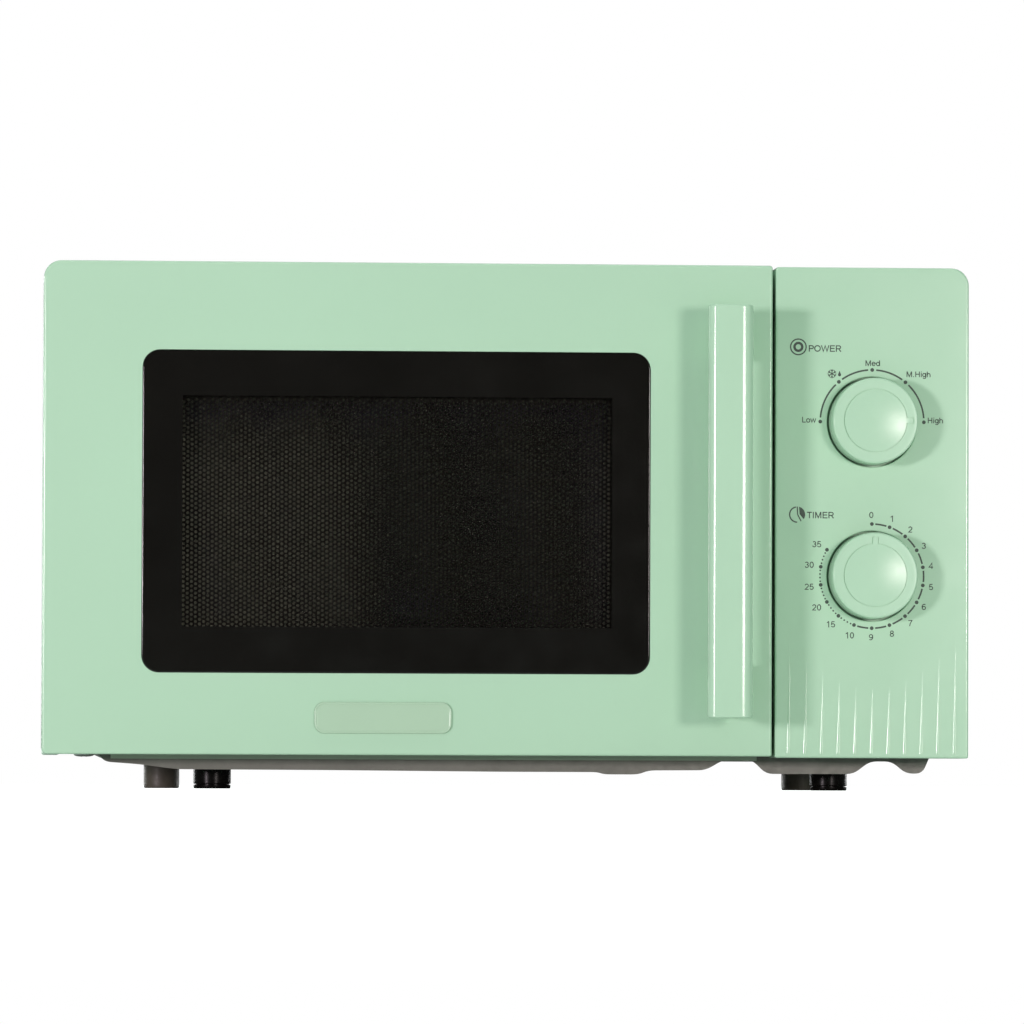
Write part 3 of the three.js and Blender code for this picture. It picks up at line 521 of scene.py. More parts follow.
def window_pane():
    """Pane with ground edges, and the flange that is held behind the door's face."""
    gap = 0.3
    front = PANE.front
    loops = [facing(window_outline(gap + inset), front + depth) for inset, depth in fillet(0.4, 2)]
    loops += [
        facing(window_outline(gap), FACE + DOOR_WALL + gap),
        facing(window_outline(-FLANGE), FACE + DOOR_WALL + gap),
        facing(window_outline(-FLANGE), PANE.back),
    ]
    pane = solid("window_pane", loops)
    return piece(pane, "door", "black_window", ["window_glass"])


HOLE_PITCH = 2.3
HOLE_RADIUS = 0.86


def perforated_screen():
    """Sheet with staggered columns of small six-sided holes inside a plain border."""
    across = HOLE_PITCH * math.sqrt(3) / 2
    left, right = SCREEN.left + SCREEN_BORDER, SCREEN.right - SCREEN_BORDER
    bottom, top = SCREEN.bottom + SCREEN_BORDER, SCREEN.top - SCREEN_BORDER
    columns = int((right - left) / across)
    rows = int((top - bottom) / HOLE_PITCH)
    side = HOLE_PITCH / math.sqrt(3)
    mesh = bmesh.new()
    grid = {}

    def corner(x, z):
        key = (round(x, 2), round(z, 2))
        if key not in grid:
            grid[key] = mesh.verts.new((x, SCREEN.front, z))
        return grid[key]

    turns = [math.radians(60 * k) for k in range(6)]
    for column in range(columns + 1):
        x = left + (right - left - columns * across) / 2 + column * across
        for row in range(rows + column % 2):
            z = bottom + HOLE_PITCH * (row + 0.5 * (1 - column % 2))
            outer = [corner(x + side * math.cos(t), z + side * math.sin(t)) for t in turns]
            inner = [mesh.verts.new((x + HOLE_RADIUS * math.cos(t), SCREEN.front,
                                     z + HOLE_RADIUS * math.sin(t))) for t in turns]
            for k in range(6):
                m = (k + 1) % 6
                mesh.faces.new((outer[k], outer[m], inner[m], inner[k]))
    hole_points = set(mesh.verts) - set(grid.values())
    rim = [edge for edge in mesh.edges if edge.is_boundary and not hole_points & set(edge.verts)]
    border = [mesh.verts.new(point) for point in facing(inset_box(SCREEN, 0, [3] * 4, 4), SCREEN.front)]
    rim += [mesh.edges.new((border[i - 1], border[i])) for i in range(len(border))]
    bmesh.ops.triangle_fill(mesh, edges=rim, use_beauty=True, normal=(0, -1, 0))
    for face in mesh.faces:
        face.normal_update()
        if face.normal.y > 0:
            face.normal_flip()
    screen = to_object(mesh, "perforated_screen", clean=False)
    thicken(screen, SCREEN.back - SCREEN.front)
    return piece(screen, "door", "screen_steel", ["door_screen"])


def bar_edge(inset):
    """Offsets from a front corner of the bar: a slow start on the face, then a tighter curve."""
    slow, tight, change = 12.0, 4.6, 12.0
    shift = slow - tight
    turn = math.radians(change)
    points = [(tight * (1 - math.sin(a)) * (1 - inset / tight) + inset, tight - tight * math.cos(a))
              for a in [math.radians(90 - (90 - change) * k / 10) for k in range(11)]]
    lift = shift * (1 - math.cos(turn))
    points = [(across, depth + lift) for across, depth in points]
    last = points[-1][0]
    points += [(last + slow * (math.sin(turn) - math.sin(a)), slow - slow * math.cos(a))
               for a in [turn * (1 - k / 4) for k in range(1, 5)]]
    return points


GRIP = {"low": 61.5, "high": 209.1, "depth": 27.0, "inset": 3.5}
BAR_BACK_RADIUS = 4.0


def handle_bar():
    """Bar with rounded edges, on a narrower post at each end."""
    bar = Span("handle")
    back = FACE - GRIP["depth"]
    radius = BAR_BACK_RADIUS

    def section(inset):
        edge = [(across, depth + inset) for across, depth in bar_edge(inset)]
        left = [(bar.left + across, bar.front + depth) for across, depth in edge]
        right = [(bar.right - across, bar.front + depth) for across, depth in edge[::-1]]
        rear = arc(bar.right - radius, back - radius, radius - inset, 0, 90, 6)
        rear += arc(bar.left + radius, back - radius, radius - inset, 90, 180, 6)
        return left + right + rear

    rims = fillet(0.8, 3)
    loops = [level(section(inset), bar.bottom + depth) for inset, depth in rims]
    loops += [level(section(inset), bar.top - depth) for inset, depth in rims[::-1]]
    handle = solid("handle_bar", loops)
    sides = (bar.left + GRIP["inset"], bar.right - GRIP["inset"])
    for ends in ((bar.bottom + 1, GRIP["low"]), (GRIP["high"], bar.top - 1)):
        outline = rounded(*sides, *ends, [2.0] * 4)
        carve(handle, loft(bmesh.new(), [facing(outline, y) for y in (back - 2, bar.back)]), "UNION")
    return piece(handle, "door", "mint_plastic", ["handle"])


def badge_plate():
    """Blank plate with a narrow raised rim."""
    badge = Span("badge")
    corner = 4.9
    front = badge.front
    rim = [(0, badge.back), (0, front + 0.55), (0.12, front + 0.22), (0.35, front + 0.04), (0.6, front),
           (0.85, front + 0.04), (1.05, front + 0.16), (1.25, front + 0.28), (1.5, front + 0.32)]
    loops = [facing(inset_box(badge, inset, [corner] * 4), y) for inset, y in rim]
    plate = solid("badge_plate", loops)
    return piece(plate, "door", "badge_plastic", ["badge"], sharp=60)


# ---- Control side ----

WELL_RADIUS = 22.1
WELL_DEPTH = 6.0
WELL_MOUTH = 0.5
WELL_WALL = 2.4
SHAFT_HOLE_RADIUS = 4.5
PANEL_WALL = 2.6
PANEL_CORNERS = [1.5, 8.6, 1.0, 1.0]
RIBS = 11
RIB_PITCH = 8.13
RIB_CURVE = 2.2
RIB_STEPS = 6


def panel_ribs():
    """Ribs that grow from a point at the top, curve up on their left and drop on their right."""
    low = PANEL.bottom + 2.2
    root = FACE + 1
    turns = [math.radians(-35 + 45 * k / 8) for k in range(9)]
    first, last = turns[0], turns[-1]
    crest = [(RIB_CURVE * (math.sin(a) - math.sin(last)), RIB_CURVE * (math.cos(a) - math.cos(first)))
             for a in turns]
    mesh = bmesh.new()
    for index in range(RIBS):
        step = index - (RIBS - 1) / 2
        x = POWER.x + 0.6 + step * RIB_PITCH
        top = 50 + 0.9 * step ** 2
        loops = []
        for k in range(RIB_STEPS + 1):
            size = max(1 - k / RIB_STEPS, 0.03)
            section = [(x + across * size, FACE - height * size) for across, height in crest]
            section += [(x, root), (x + crest[0][0] * size, root)]
            loops.append(level(section, low + (top - low) * k / RIB_STEPS))
        loft(mesh, loops)
    ribs = to_object(mesh, "panel_ribs")
    return piece(ribs, "chassis", "mint_plastic", sharp=30)


def control_fascia():
    """Moulded panel with a round well for each knob and a hole for its shaft."""
    outline = lambda inset: inset_box(PANEL, inset, PANEL_CORNERS)
    loops = moulded_walls(outline, FACE, PANEL.back, PANEL_WALL)
    fascia = solid("control_fascia", loops)
    cups = bmesh.new()
    wells = bmesh.new()
    outer = WELL_RADIUS + WELL_WALL
    end = -WELL_DEPTH - WELL_WALL
    cup = [(0, -2), (outer, -2), (outer, end), (0, end)]
    well = [(0, 1), (WELL_RADIUS + WELL_MOUTH + 1, 1), (WELL_RADIUS + WELL_MOUTH, 0),
            (WELL_RADIUS + WELL_MOUTH * 0.3, -WELL_MOUTH * 0.3), (WELL_RADIUS, -WELL_MOUTH),
            (WELL_RADIUS, -WELL_DEPTH), (SHAFT_HOLE_RADIUS, -WELL_DEPTH),
            (SHAFT_HOLE_RADIUS, -WELL_DEPTH - 4), (0, -WELL_DEPTH - 4)]
    for knob in (POWER, TIMER):
        where = outward(knob.x, knob.z, FACE)
        lathe(cups, cup, where, 96)
        lathe(wells, well, where, 96)
    carve(fascia, cups, "UNION")
    carve(fascia, wells)
    return piece(fascia, "chassis", "mint_plastic", ["control_panel"], sharp=20)


KNOB_DOME = 152.0
KNOB_FRONT_RADIUS = 21.0
KNOB_EDGE = 1.1
DISC_RADIUS = 15.3
POINTER = 3.3
GROOVE_WIDTH = 0.34
GROOVE_DEPTH = 0.4
BORE_RADIUS = 3.3
BORE_END = 6


def pointer_outline(grow):
    """A circle whose edge runs out into a short tab towards +X, drawn out by grow."""
    radius = DISC_RADIUS + grow
    half = 1.45 + grow
    tip = DISC_RADIUS + POINTER + grow
    open_angle = math.degrees(math.asin(half / radius))
    tab = [(tip - 0.4, -half), (tip, -half + 0.4), (tip, half - 0.4), (tip - 0.4, half)]
    return arc(0, 0, radius, open_angle, 360 - open_angle, 90) + tab


def knob_piece(name, node, body, pointer):
    """Drum with a shallow domed face, and a groove round its disc and pointer."""
    knob = Span(node)
    reach = FACE - knob.front
    back = knob.back - FACE
    base = (knob.right - knob.left) / 2
    dome = lambda radius: reach - min(radius, DISC_RADIUS) ** 2 / (2 * KNOB_DOME)
    rim = KNOB_FRONT_RADIUS - KNOB_EDGE
    drum = [(rim * k / 12, dome(rim * k / 12)) for k in range(12)]
    drum += arc(rim - 0.2, dome(rim) - KNOB_EDGE, KNOB_EDGE, 80, 4, 8)
    drum += [(base, -back + 0.4), (base - 0.4, -back)]
    drum += [(BORE_RADIUS, -back), (BORE_RADIUS, BORE_END), (0, BORE_END)]
    where = outward(knob.x, knob.z, FACE)
    made = to_object(lathe(bmesh.new(), drum, where, 128), name)
    turn = Matrix.Rotation(math.radians(pointer), 2)
    half = GROOVE_WIDTH / 2
    rings = []
    for grow, sunk in ((half, False), (half, True), (-half, True), (-half, False)):
        ring = []
        for x, z in pointer_outline(grow):
            placed = turn @ Vector((x, z))
            height = dome(math.hypot(x, z)) - GROOVE_DEPTH if sunk else reach + 2
            ring.append((knob.x + placed.x, FACE - height, knob.z + placed.y))
        rings.append(ring)
    carve(made, loft(bmesh.new(), rings, wrap=True))
    return piece(made, body, "knob_plastic", [node], sharp=30)


PRINT_DEPTH = 0.04
PRINT_RADIUS = 25.4
MARK_WIDTH = 0.82
DOT_RADIUS = 0.92
SMALL_DOT_RADIUS = 0.42


def mark(mesh, outline):
    """A thin printed shape on the face."""
    return loft(mesh, [facing(outline, FACE - PRINT_DEPTH), facing(outline, FACE + 0.3)])


def around(x, z, radius, angle):
    """The point of a circle at an angle in degrees."""
    return arc(x, z, radius, angle, angle, 1)[0]


def dot(mesh, x, z, radius):
    return mark(mesh, arc(x, z, radius, 0, 340, 17))


def arc_mark(mesh, x, z, start, end, radius=PRINT_RADIUS, width=MARK_WIDTH):
    steps = max(int(abs(end - start) / 3), 2)
    outer = arc(x, z, radius + width / 2, start, end, steps)
    inner = arc(x, z, radius - width / 2, end, start, steps)
    return mark(mesh, outer + inner)


def line_mark(mesh, x0, z0, x1, z1, width):
    along = Vector((x1 - x0, z1 - z0)).normalized() * width / 2
    side = Vector((-along.y, along.x))
    ends = [Vector((x0, z0)) + side, Vector((x0, z0)) - side, Vector((x1, z1)) - side,
            Vector((x1, z1)) + side]
    return mark(mesh, [tuple(end) for end in ends])


def oval(x, z, across, up, start=0, end=360):
    """Points along an ellipse for a letter's stroke."""
    steps = max(int(abs(end - start) / 20), 2)
    return [(x + across * a, z + up * b) for a, b in arc(0, 0, 1, start, end, steps)]


def stem(x, top=1):
    return [(x, 0), (x, top)]


def bowl(x):
    """The round part of a P or an R."""
    return [(0.18, 0.93)] + oval(x, 0.7, 0.25, 0.23, 90, -90) + [(0.18, 0.47)]


# Plain sans-serif letters and numbers: a width, then the strokes' middle lines, in cap heights.
LETTERS = {
    "P": (0.93, [stem(0.18), bowl(0.56)]),
    "O": (1.09, [oval(0.54, 0.5, 0.44, 0.44)]),
    "W": (1.32, [[(0.07, 1), (0.37, 0.05), (0.66, 0.95), (0.95, 0.05), (1.25, 1)]]),
    "E": (0.93, [[(0.86, 0.93), (0.18, 0.93), (0.18, 0.07), (0.88, 0.07)], [(0.18, 0.52), (0.82, 0.52)]]),
    "R": (1.01, [stem(0.18), bowl(0.6), [(0.56, 0.46), (0.9, 0)]]),
    "T": (0.85, [[(0.03, 0.93), (0.82, 0.93)], [(0.43, 0.93), (0.43, 0)]]),
    "I": (0.39, [stem(0.19)]),
    "M": (1.16, [stem(0.17), [(0.19, 0.97), (0.58, 0.08), (0.97, 0.97)], stem(0.99)]),
    "L": (0.78, [[(0.17, 1), (0.17, 0.07), (0.74, 0.07)]]),
    "H": (1.01, [stem(0.18), stem(0.83), [(0.18, 0.52), (0.83, 0.52)]]),
    "o": (0.78, [oval(0.39, 0.36, 0.29, 0.31)]),
    "w": (1.01, [[(0.05, 0.72), (0.28, 0.05), (0.5, 0.66), (0.73, 0.05), (0.96, 0.72)]]),
    "e": (0.78, [[(0.1, 0.37), (0.68, 0.37)] + oval(0.39, 0.36, 0.29, 0.31, 5, 320)]),
    "d": (0.78, [oval(0.37, 0.36, 0.27, 0.31), stem(0.65)]),
    "h": (0.78, [stem(0.14), oval(0.39, 0.42, 0.25, 0.24, 180, 0) + [(0.64, 0)]]),
    "i": (0.31, [stem(0.16, 0.72), [(0.16, 0.86), (0.16, 1)]]),
    "g": (0.78, [oval(0.37, 0.38, 0.27, 0.29), [(0.65, 0.72)] + oval(0.39, -0.03, 0.26, 0.19, 0, -165)]),
    ".": (0.39, [stem(0.19, 0.14)]),
    "0": (0.78, [oval(0.39, 0.5, 0.27, 0.44)]),
    "1": (0.78, [[(0.17, 0.74), (0.46, 0.96)], [(0.46, 1), (0.46, 0)]]),
    "2": (0.78, [oval(0.38, 0.68, 0.26, 0.25, 170, -30) + [(0.11, 0.07), (0.68, 0.07)]]),
    "3": (0.78, [oval(0.37, 0.73, 0.23, 0.2, 160, -90), oval(0.37, 0.3, 0.27, 0.23, 90, -165)]),
    "4": (0.78, [[(0.53, 0), (0.53, 0.95), (0.07, 0.28), (0.72, 0.28)]]),
    "5": (0.78, [[(0.63, 0.93), (0.21, 0.93), (0.14, 0.49)] + oval(0.38, 0.33, 0.28, 0.26, 140, -160)]),
    "6": (0.78, [oval(0.4, 0.33, 0.27, 0.26), oval(0.46, 0.46, 0.35, 0.47, 180, 55)]),
    "7": (0.78, [[(0.08, 0.93), (0.68, 0.93), (0.4, 0.45), (0.3, 0)]]),
    "8": (0.78, [oval(0.39, 0.74, 0.22, 0.2), oval(0.39, 0.29, 0.27, 0.23)]),
    "9": (0.78, [oval(0.38, 0.67, 0.27, 0.26), oval(0.32, 0.54, 0.35, 0.47, 0, -125)]),
}


def lettering(mesh, text, x, z, height, stroke=0.44):
    """Text centred on a point of the face, with a cap height and a stroke in millimetres."""
    along = x - height * sum(LETTERS[letter][0] for letter in text) / 2
    for letter in text:
        width, strokes = LETTERS[letter]
        for points in strokes:
            line = [Vector((along + height * a, z + height * (b - 0.5))) for a, b in points]
            ways = [(b - a).normalized() for a, b in zip(line, line[1:])]
            closed = (line[0] - line[-1]).length < 1e-4
            left, right = [], []
            for i, point in enumerate(line):
                before = ways[i - 1] if i or closed else ways[0]
                after = ways[i] if i < len(ways) else (ways[0] if closed else ways[-1])
                way = (before + after).normalized()
                reach = stroke / 2 / max(way.dot(after), 0.45)
                side = Vector((-way.y, way.x)) * reach
                left.append(point + side)
                right.append(point - side)
            for i in range(len(ways)):
                quad = [left[i], left[i + 1], right[i + 1], right[i]]
                mark(mesh, [tuple(corner) for corner in quad[::-1]])
        along += height * width
    return mesh


LABEL_HEIGHT = 2.75
DIGIT_HEIGHT = 3.0
TITLE_HEIGHT = 3.1


def power_print(mesh):
    """Five stops on an arc, four of them with a word and one with a snowflake and a drop."""
    x, z = POWER.x, POWER.z
    stops = [180, 130, 90, 50, 0]
    for stop in stops:
        dot(mesh, *around(x, z, PRINT_RADIUS, stop), DOT_RADIUS)
    for start, end in zip(stops, stops[1:]):
        arc_mark(mesh, x, z, start - 4.5, end + 4.5)
    for text, dx, dz in (("Low", -31, 0.9), ("Med", 0.2, 28.7), ("M.High", 22.7, 23.4), ("High", 31, 0.9)):
        lettering(mesh, text, x + dx, z + dz, LABEL_HEIGHT)
    flake = (x - 19.7, z + 23.4)
    for k in range(6):
        angle = 30 + 60 * k
        stem = around(*flake, 1.3, angle)
        line_mark(mesh, *flake, *around(*flake, 2.2, angle), 0.42)
        for side in (-24, 24):
            line_mark(mesh, *stem, *around(*flake, 2.1, angle + side), 0.34)
    mark(mesh, arc(x - 16.0, z + 22.9, 0.75, -200, 20, 12) + [(x - 16.0, z + 24.9)])


def timer_print(mesh):
    """Minutes round the dial: one by one up to 10, then in steps of 5 with small dots between."""
    x, z = TIMER.x, TIMER.z
    labels = list(range(11)) + [15, 20, 25, 30, 35]
    step = 20
    for index, label in enumerate(labels):
        angle = 90 - step * index
        dot(mesh, *around(x, z, PRINT_RADIUS, angle), DOT_RADIUS)
        reach = 29.8 if label < 10 else 30.8
        lettering(mesh, str(label), *around(x - 0.3, z, reach, angle), DIGIT_HEIGHT)
        if index < 10:
            arc_mark(mesh, x, z, angle - 3.8, angle - step + 3.8)
        elif index < len(labels) - 1:
            for small in range(1, 5):
                dot(mesh, *around(x, z, PRINT_RADIUS, angle - small * step / 5), SMALL_DOT_RADIUS)


def title_print(mesh):
    """Round symbols and the two titles."""
    icon_x = POWER.x - 36.2
    timer_x = icon_x - 0.4
    power_z = POWER.z + 36.4
    timer_z = TIMER.z + 29.8
    for start in (0, 180):
        arc_mark(mesh, icon_x, power_z, start, start + 180, 3.8, 0.62)
        arc_mark(mesh, icon_x, power_z, start, start + 180, 1.9, 1.2)
    lettering(mesh, "POWER", POWER.x - 23.2, power_z - 0.7, TITLE_HEIGHT, 0.5)
    arc_mark(mesh, timer_x, timer_z, 100, 270, 3.7, 0.62)
    line_mark(mesh, timer_x, timer_z + 3.9, timer_x + 0.25, timer_z, 0.55)
    line_mark(mesh, timer_x + 0.25, timer_z, timer_x + 1.9, timer_z - 3.2, 0.55)
    wedge = [(timer_x + 0.9, timer_z + 3.8)] + arc(timer_x, timer_z, 3.9, 70, -35, 12)
    mark(mesh, wedge + [(timer_x + 1.2, timer_z + 0.2)])
    lettering(mesh, "TIMER", POWER.x - 25.2, timer_z - 0.2, TITLE_HEIGHT, 0.5)


def dial_marks():
    mesh = bmesh.new()
    power_print(mesh)
    timer_print(mesh)
    title_print(mesh)
    printed = to_object(mesh, "dial_marks")
    return piece(printed, "chassis", "dial_print")


# ---- Body shell ----

SHEET = 1.2
PAN_SHEET = 1.4
SHEET_EDGE = 0.25
CASE_CORNER = 8.3
CASE_LIP = 8.0
TOP_SCREWS = (-60, 60)
LOUVRES = 7
LOUVRE_START = 96
LOUVRE_PITCH = 10
LOUVRE_WIDTH = 4
LOUVRE_ENDS = (60, 100)
GRILLE_RADIUS = 44
GRILLE_PITCH = 9.5
REAR_SLOTS = 8
REAR_SLOT_START = -190
REAR_SLOT_PITCH = 9
REAR_SLOT_WIDTH = 4
REAR_SLOT_ENDS = (196, 224)
LEAD_HOLE_RADIUS = 9.3


def folded_sheet(name, path, depths, up, thickness):
    """A sheet that follows an X-Z path, with the outside of its middle up (1) or down (-1)."""
    mesh = bmesh.new()
    rows = [[mesh.verts.new(point) for point in facing(path, y)] for y in depths]
    for one, two in zip(rows, rows[1:]):
        for i in range(len(path) - 1):
            mesh.faces.new((one[i], one[i + 1], two[i + 1], two[i]))
    sheet = to_object(mesh, name)
    if sheet.data.polygons[len(path) // 2].normal.z * up < 0:
        sheet.data.flip_normals()
    return thicken(sheet, thickness)


def case_shell():
    """Wrap of two sides and the top with a lip along each lower edge and louvres at the back."""
    right = [(CASE.right - CASE_LIP, CASE.bottom), (CASE.right - 0.8, CASE.bottom)]
    right += [(CASE.right, CASE.bottom + 0.8)]
    right += arc(CASE.right - CASE_CORNER, CASE.top - CASE_CORNER, CASE_CORNER, 0, 90, 12)
    path = right + [(CASE.left + CASE.right - x, z) for x, z in right[::-1]]
    depths = [CASE.front, CASE.front + 0.6, CASE.front + 6, CASE.back - 1, CASE.back]
    case = folded_sheet("case_shell", path, depths, 1, SHEET)
    louvres = bmesh.new()
    for side in (CASE.left, CASE.right):
        for row in range(LOUVRES):
            y = LOUVRE_START + row * LOUVRE_PITCH
            outline = rounded(y, y + LOUVRE_WIDTH, *LOUVRE_ENDS, [LOUVRE_WIDTH / 2 - 0.01] * 4, 6)
            loft(louvres, [[(side + dx, a, b) for a, b in outline] for dx in (-4, 4)])
    carve(case, louvres)
    soften(case, SHEET_EDGE)
    return piece(case, "chassis", "mint_paint", ["outer_case"])


def back_panel():
    """Rear sheet with a round grille before the fan, a row of slots and the lead's hole."""
    panel = Span("rear_panel")
    fan = Span("fan_impeller")
    gland = Span("cord_gland")
    corner = CASE_CORNER - SHEET
    rim = [(0, panel.front), (0, panel.back - 0.2), (0.2, panel.back)]
    loops = [facing(inset_box(panel, inset, [corner, corner, 1, 1]), y) for inset, y in rim]
    sheet = solid("back_panel", loops)
    openings = bmesh.new()
    through = (panel.front - 1, panel.back + 1)
    rod(openings, "Y", LEAD_HOLE_RADIUS, (gland.x, 0, gland.z), *through)
    for row in range(-4, 5):
        rise = row * GRILLE_PITCH
        reach = math.sqrt(GRILLE_RADIUS ** 2 - rise ** 2)
        slot_y(openings, fan.x - reach, fan.x + reach, fan.z + rise - 2, fan.z + rise + 2, *through)
    for index in range(REAR_SLOTS):
        x = REAR_SLOT_START + index * REAR_SLOT_PITCH
        slot_y(openings, x, x + REAR_SLOT_WIDTH, *REAR_SLOT_ENDS, *through)
    carve(sheet, openings)
    return piece(sheet, "chassis", "galvanised", ["rear_panel"])


def ease(points, reach, steps=4):
    """Rounds off a line's corners, each from reach millimetres before it to reach after it."""
    line = [Vector(point) for point in points]
    out = [points[0]]
    for before, corner, after in zip(line, line[1:], line[2:]):
        start = corner + (before - corner).normalized() * min(reach, (before - corner).length * 0.48)
        end = corner + (after - corner).normalized() * min(reach, (after - corner).length * 0.48)
        for k in range(steps + 1):
            t = k / steps
            out.append(tuple(start * (1 - t) ** 2 + corner * 2 * t * (1 - t) + end * t ** 2))
    return out + [points[-1]]


def lower_edge(node, near, far):
    """The lowest points, from left to right, of a node's part between two depths."""
    lowest = {}
    for vertex in node.data.vertices:
        x, y, z = [value / MM for value in vertex.co]
        if near <= y <= far:
            lowest[round(x, 2)] = min(z, lowest.get(round(x, 2), z))
    return sorted(lowest.items())


def bottom_pan():
    """Stamped pan: a floor between raised sides, and a front flange with a wavy lower edge."""
    node = frame["nodes"]["base_plate"]
    pan = Span("base_plate")
    path = ease(lower_edge(node, pan.back - 1, pan.back + 1), 3)
    made = folded_sheet("bottom_pan", path, (pan.front + 0.5, pan.back), -1, PAN_SHEET)
    edge = ease(lower_edge(node, pan.front - 0.5, pan.front + 0.5), 3.5)
    top = pan.top - 0.2
    outline = edge + [(edge[-1][0], top), (edge[0][0], top)]
    flange = loft(bmesh.new(), [facing(outline, y) for y in (pan.front, pan.front + PAN_SHEET)])
    carve(made, flange, "UNION")
    soften(made, SHEET_EDGE, 60)
    return piece(made, "chassis", "pan_steel", ["base_plate"])


def foot_piece(node, look, groove):
    """Turned foot, with or without a groove above its sole."""
    foot = Span(node)
    radius = (foot.right - foot.left) / 2
    height = foot.top - foot.bottom
    profile = [(0, 0), (radius - 0.9, 0), (radius - 0.35, 0.15), (radius - 0.1, 0.5), (radius - 0.1, 1.6)]
    if groove:
        profile += [(radius - 0.3, 1.8), (radius - 0.9, 1.9), (radius - 0.9, 2.25), (radius - 0.3, 2.35)]
    profile += [(radius, 2.7), (radius, height - 0.9), (radius - 0.2, height - 0.4),
                (radius - 0.6, height), (0, height)]
    made = to_object(lathe(bmesh.new(), profile, Matrix.Translation((foot.x, foot.y, 0)), 72), node + "_pad")
    return piece(made, "chassis", look, [node])


def cross_screw(mesh, place, radius=3.4, height=1.2):
    """Pan head with a cross recess, standing on the plane that place gives."""
    head = [(0, -2), (radius * 0.55, -2), (radius * 0.55, 0), (radius, 0), (radius, height * 0.3)]
    head += [(radius * math.cos(a), height * (0.3 + 0.7 * math.sin(a)))
             for a in [math.radians(15 * k) for k in range(1, 6)]] + [(0, height)]
    body = to_object(lathe(bmesh.new(), head, None, 32), "screw")
    arm, width = radius * 0.5, radius * 0.16
    for x, y in ((arm, width), (width, arm)):
        carve(body, block(bmesh.new(), -x, x, -y, y, height * 0.45, height + 1))
    body.data.transform(place @ Matrix.Scale(1 / MM, 4))
    mesh.from_mesh(body.data)
    bpy.data.objects.remove(body)
    return mesh


def screws():
    """Rear screws of the case, and the hinge's screw under the door."""
    panel = Span("rear_panel")
    mesh = bmesh.new()
    rearward = Matrix.Rotation(-math.pi / 2, 4, "X")
    places = [(x, z) for x in (panel.left + 8, panel.right - 8)
              for z in (panel.bottom + 14, panel.z, panel.top - 12)]
    places += [(x, panel.top - 7) for x in TOP_SCREWS]
    for x, z in places:
        cross_screw(mesh, Matrix.Translation((x, panel.back, z)) @ rearward)
    heads = to_object(mesh, "rear_screws")
    piece(heads, "chassis", "zinc_steel")
    hinge = Span("hinge_screw")
    mesh = bmesh.new()
    downward = Matrix.Translation((hinge.x, hinge.y, hinge.top)) @ Matrix.Rotation(math.pi, 4, "X")
    cross_screw(mesh, downward, (hinge.right - hinge.left) / 2, hinge.top - hinge.bottom)
    head = to_object(mesh, "hinge_screw_head")
    return piece(head, "chassis", "zinc_steel", ["hinge_screw"])


# ---- Cavity ----


def hole_patch(mesh, across, along, wall, axis, columns, rows, pitch=4.2, radius=1.4):
    """Staggered round holes through a wall, around a point given by its two other coordinates."""
    for row in range(rows):
        for column in range(columns - row % 2):
            a = across + (column - (columns - 1 - row % 2) / 2) * pitch
            b = along + (row - (rows - 1) / 2) * pitch * 0.87
            centre = (a, b, 0) if axis == "Z" else (0, a, b)
            rod(mesh, axis, radius, centre, wall - 3, wall + 3, 12)
    return mesh


CAVITY_CORNER = 5.0
CAVITY_ROUND = 4.0
FEED_HEIGHTS = (199, 221)
COUPLER_HOLE_RADIUS = 9


def cavity_liner():
    """Enamelled box with round inner edges, lamp holes on its right and vent holes in its roof."""
    outer = lambda inset: inset_box(CAVITY, inset, [CAVITY_CORNER + SHEET] * 4)
    inner = lambda inset: outer(SHEET + inset)
    back = CAVITY.back - SHEET
    rims = fillet(CAVITY_ROUND)
    loops = [facing(inner(inset), back - depth) for inset, depth in rims]
    loops += [facing(inner(0), CAVITY.front + 0.3), facing(inner(-0.3), CAVITY.front),
              facing(outer(0.3), CAVITY.front), facing(outer(0), CAVITY.front + 0.3)]
    loops += [facing(outer(inset), CAVITY.back - depth) for inset, depth in rims[::-1]]
    liner = solid("cavity_liner", loops)
    guide = Span("waveguide")
    coupler = Span("turntable_coupler")
    lamp = Span("lamp_bulb")
    openings = bmesh.new()
    sides = (CAVITY.right - 3, CAVITY.right + 3)
    block(openings, *sides, guide.front + 6, guide.back - 6, *FEED_HEIGHTS)
    ends = (CAVITY.bottom - 2, CAVITY.bottom + 3)
    rod(openings, "Z", COUPLER_HOLE_RADIUS, (coupler.x, coupler.y, 0), *ends, 48)
    hole_patch(openings, lamp.y, lamp.z, CAVITY.right - SHEET / 2, "X", 8, 7)
    vent = (CAVITY.left + 49, CAVITY.back - 50)
    hole_patch(openings, *vent, CAVITY.top - SHEET / 2, "Z", 14, 9)
    carve(liner, openings)
    return piece(liner, "chassis", "cavity_enamel", ["cavity"])


def tray():
    """Glass plate with a rim, a foot ring and fine rings on its underside."""
    plate = Span("glass_tray")
    radius = (plate.right - plate.left) / 2
    under = [(0, 0)]
    for ring in range(18, 96, 13):
        under += [(ring, 0), (ring + 0.6, 0.5), (ring + 1.8, 0.5), (ring + 2.4, 0)]
    under += [(98, 0), (102, 0.7), (106, 2.6), (113, 6), (119.5, 9.4), (radius - 0.7, 11.9), (radius, 12.9)]
    upper = [(radius, 13.8), (radius - 0.5, 14.35), (radius - 1.3, 14.3), (119, 13.2), (112, 10),
             (104.5, 6.4), (100.5, 4.9), (97, 4.5), (60, 4.5), (0, 4.5)]
    where = Matrix.Translation((plate.x, plate.y, plate.bottom))
    glass = to_object(lathe(bmesh.new(), under + upper, where, 128), "tray")
    return piece(glass, "turntable", "tray_glass", ["glass_tray"])


# ---- Nodes that keep their CAD shape ----

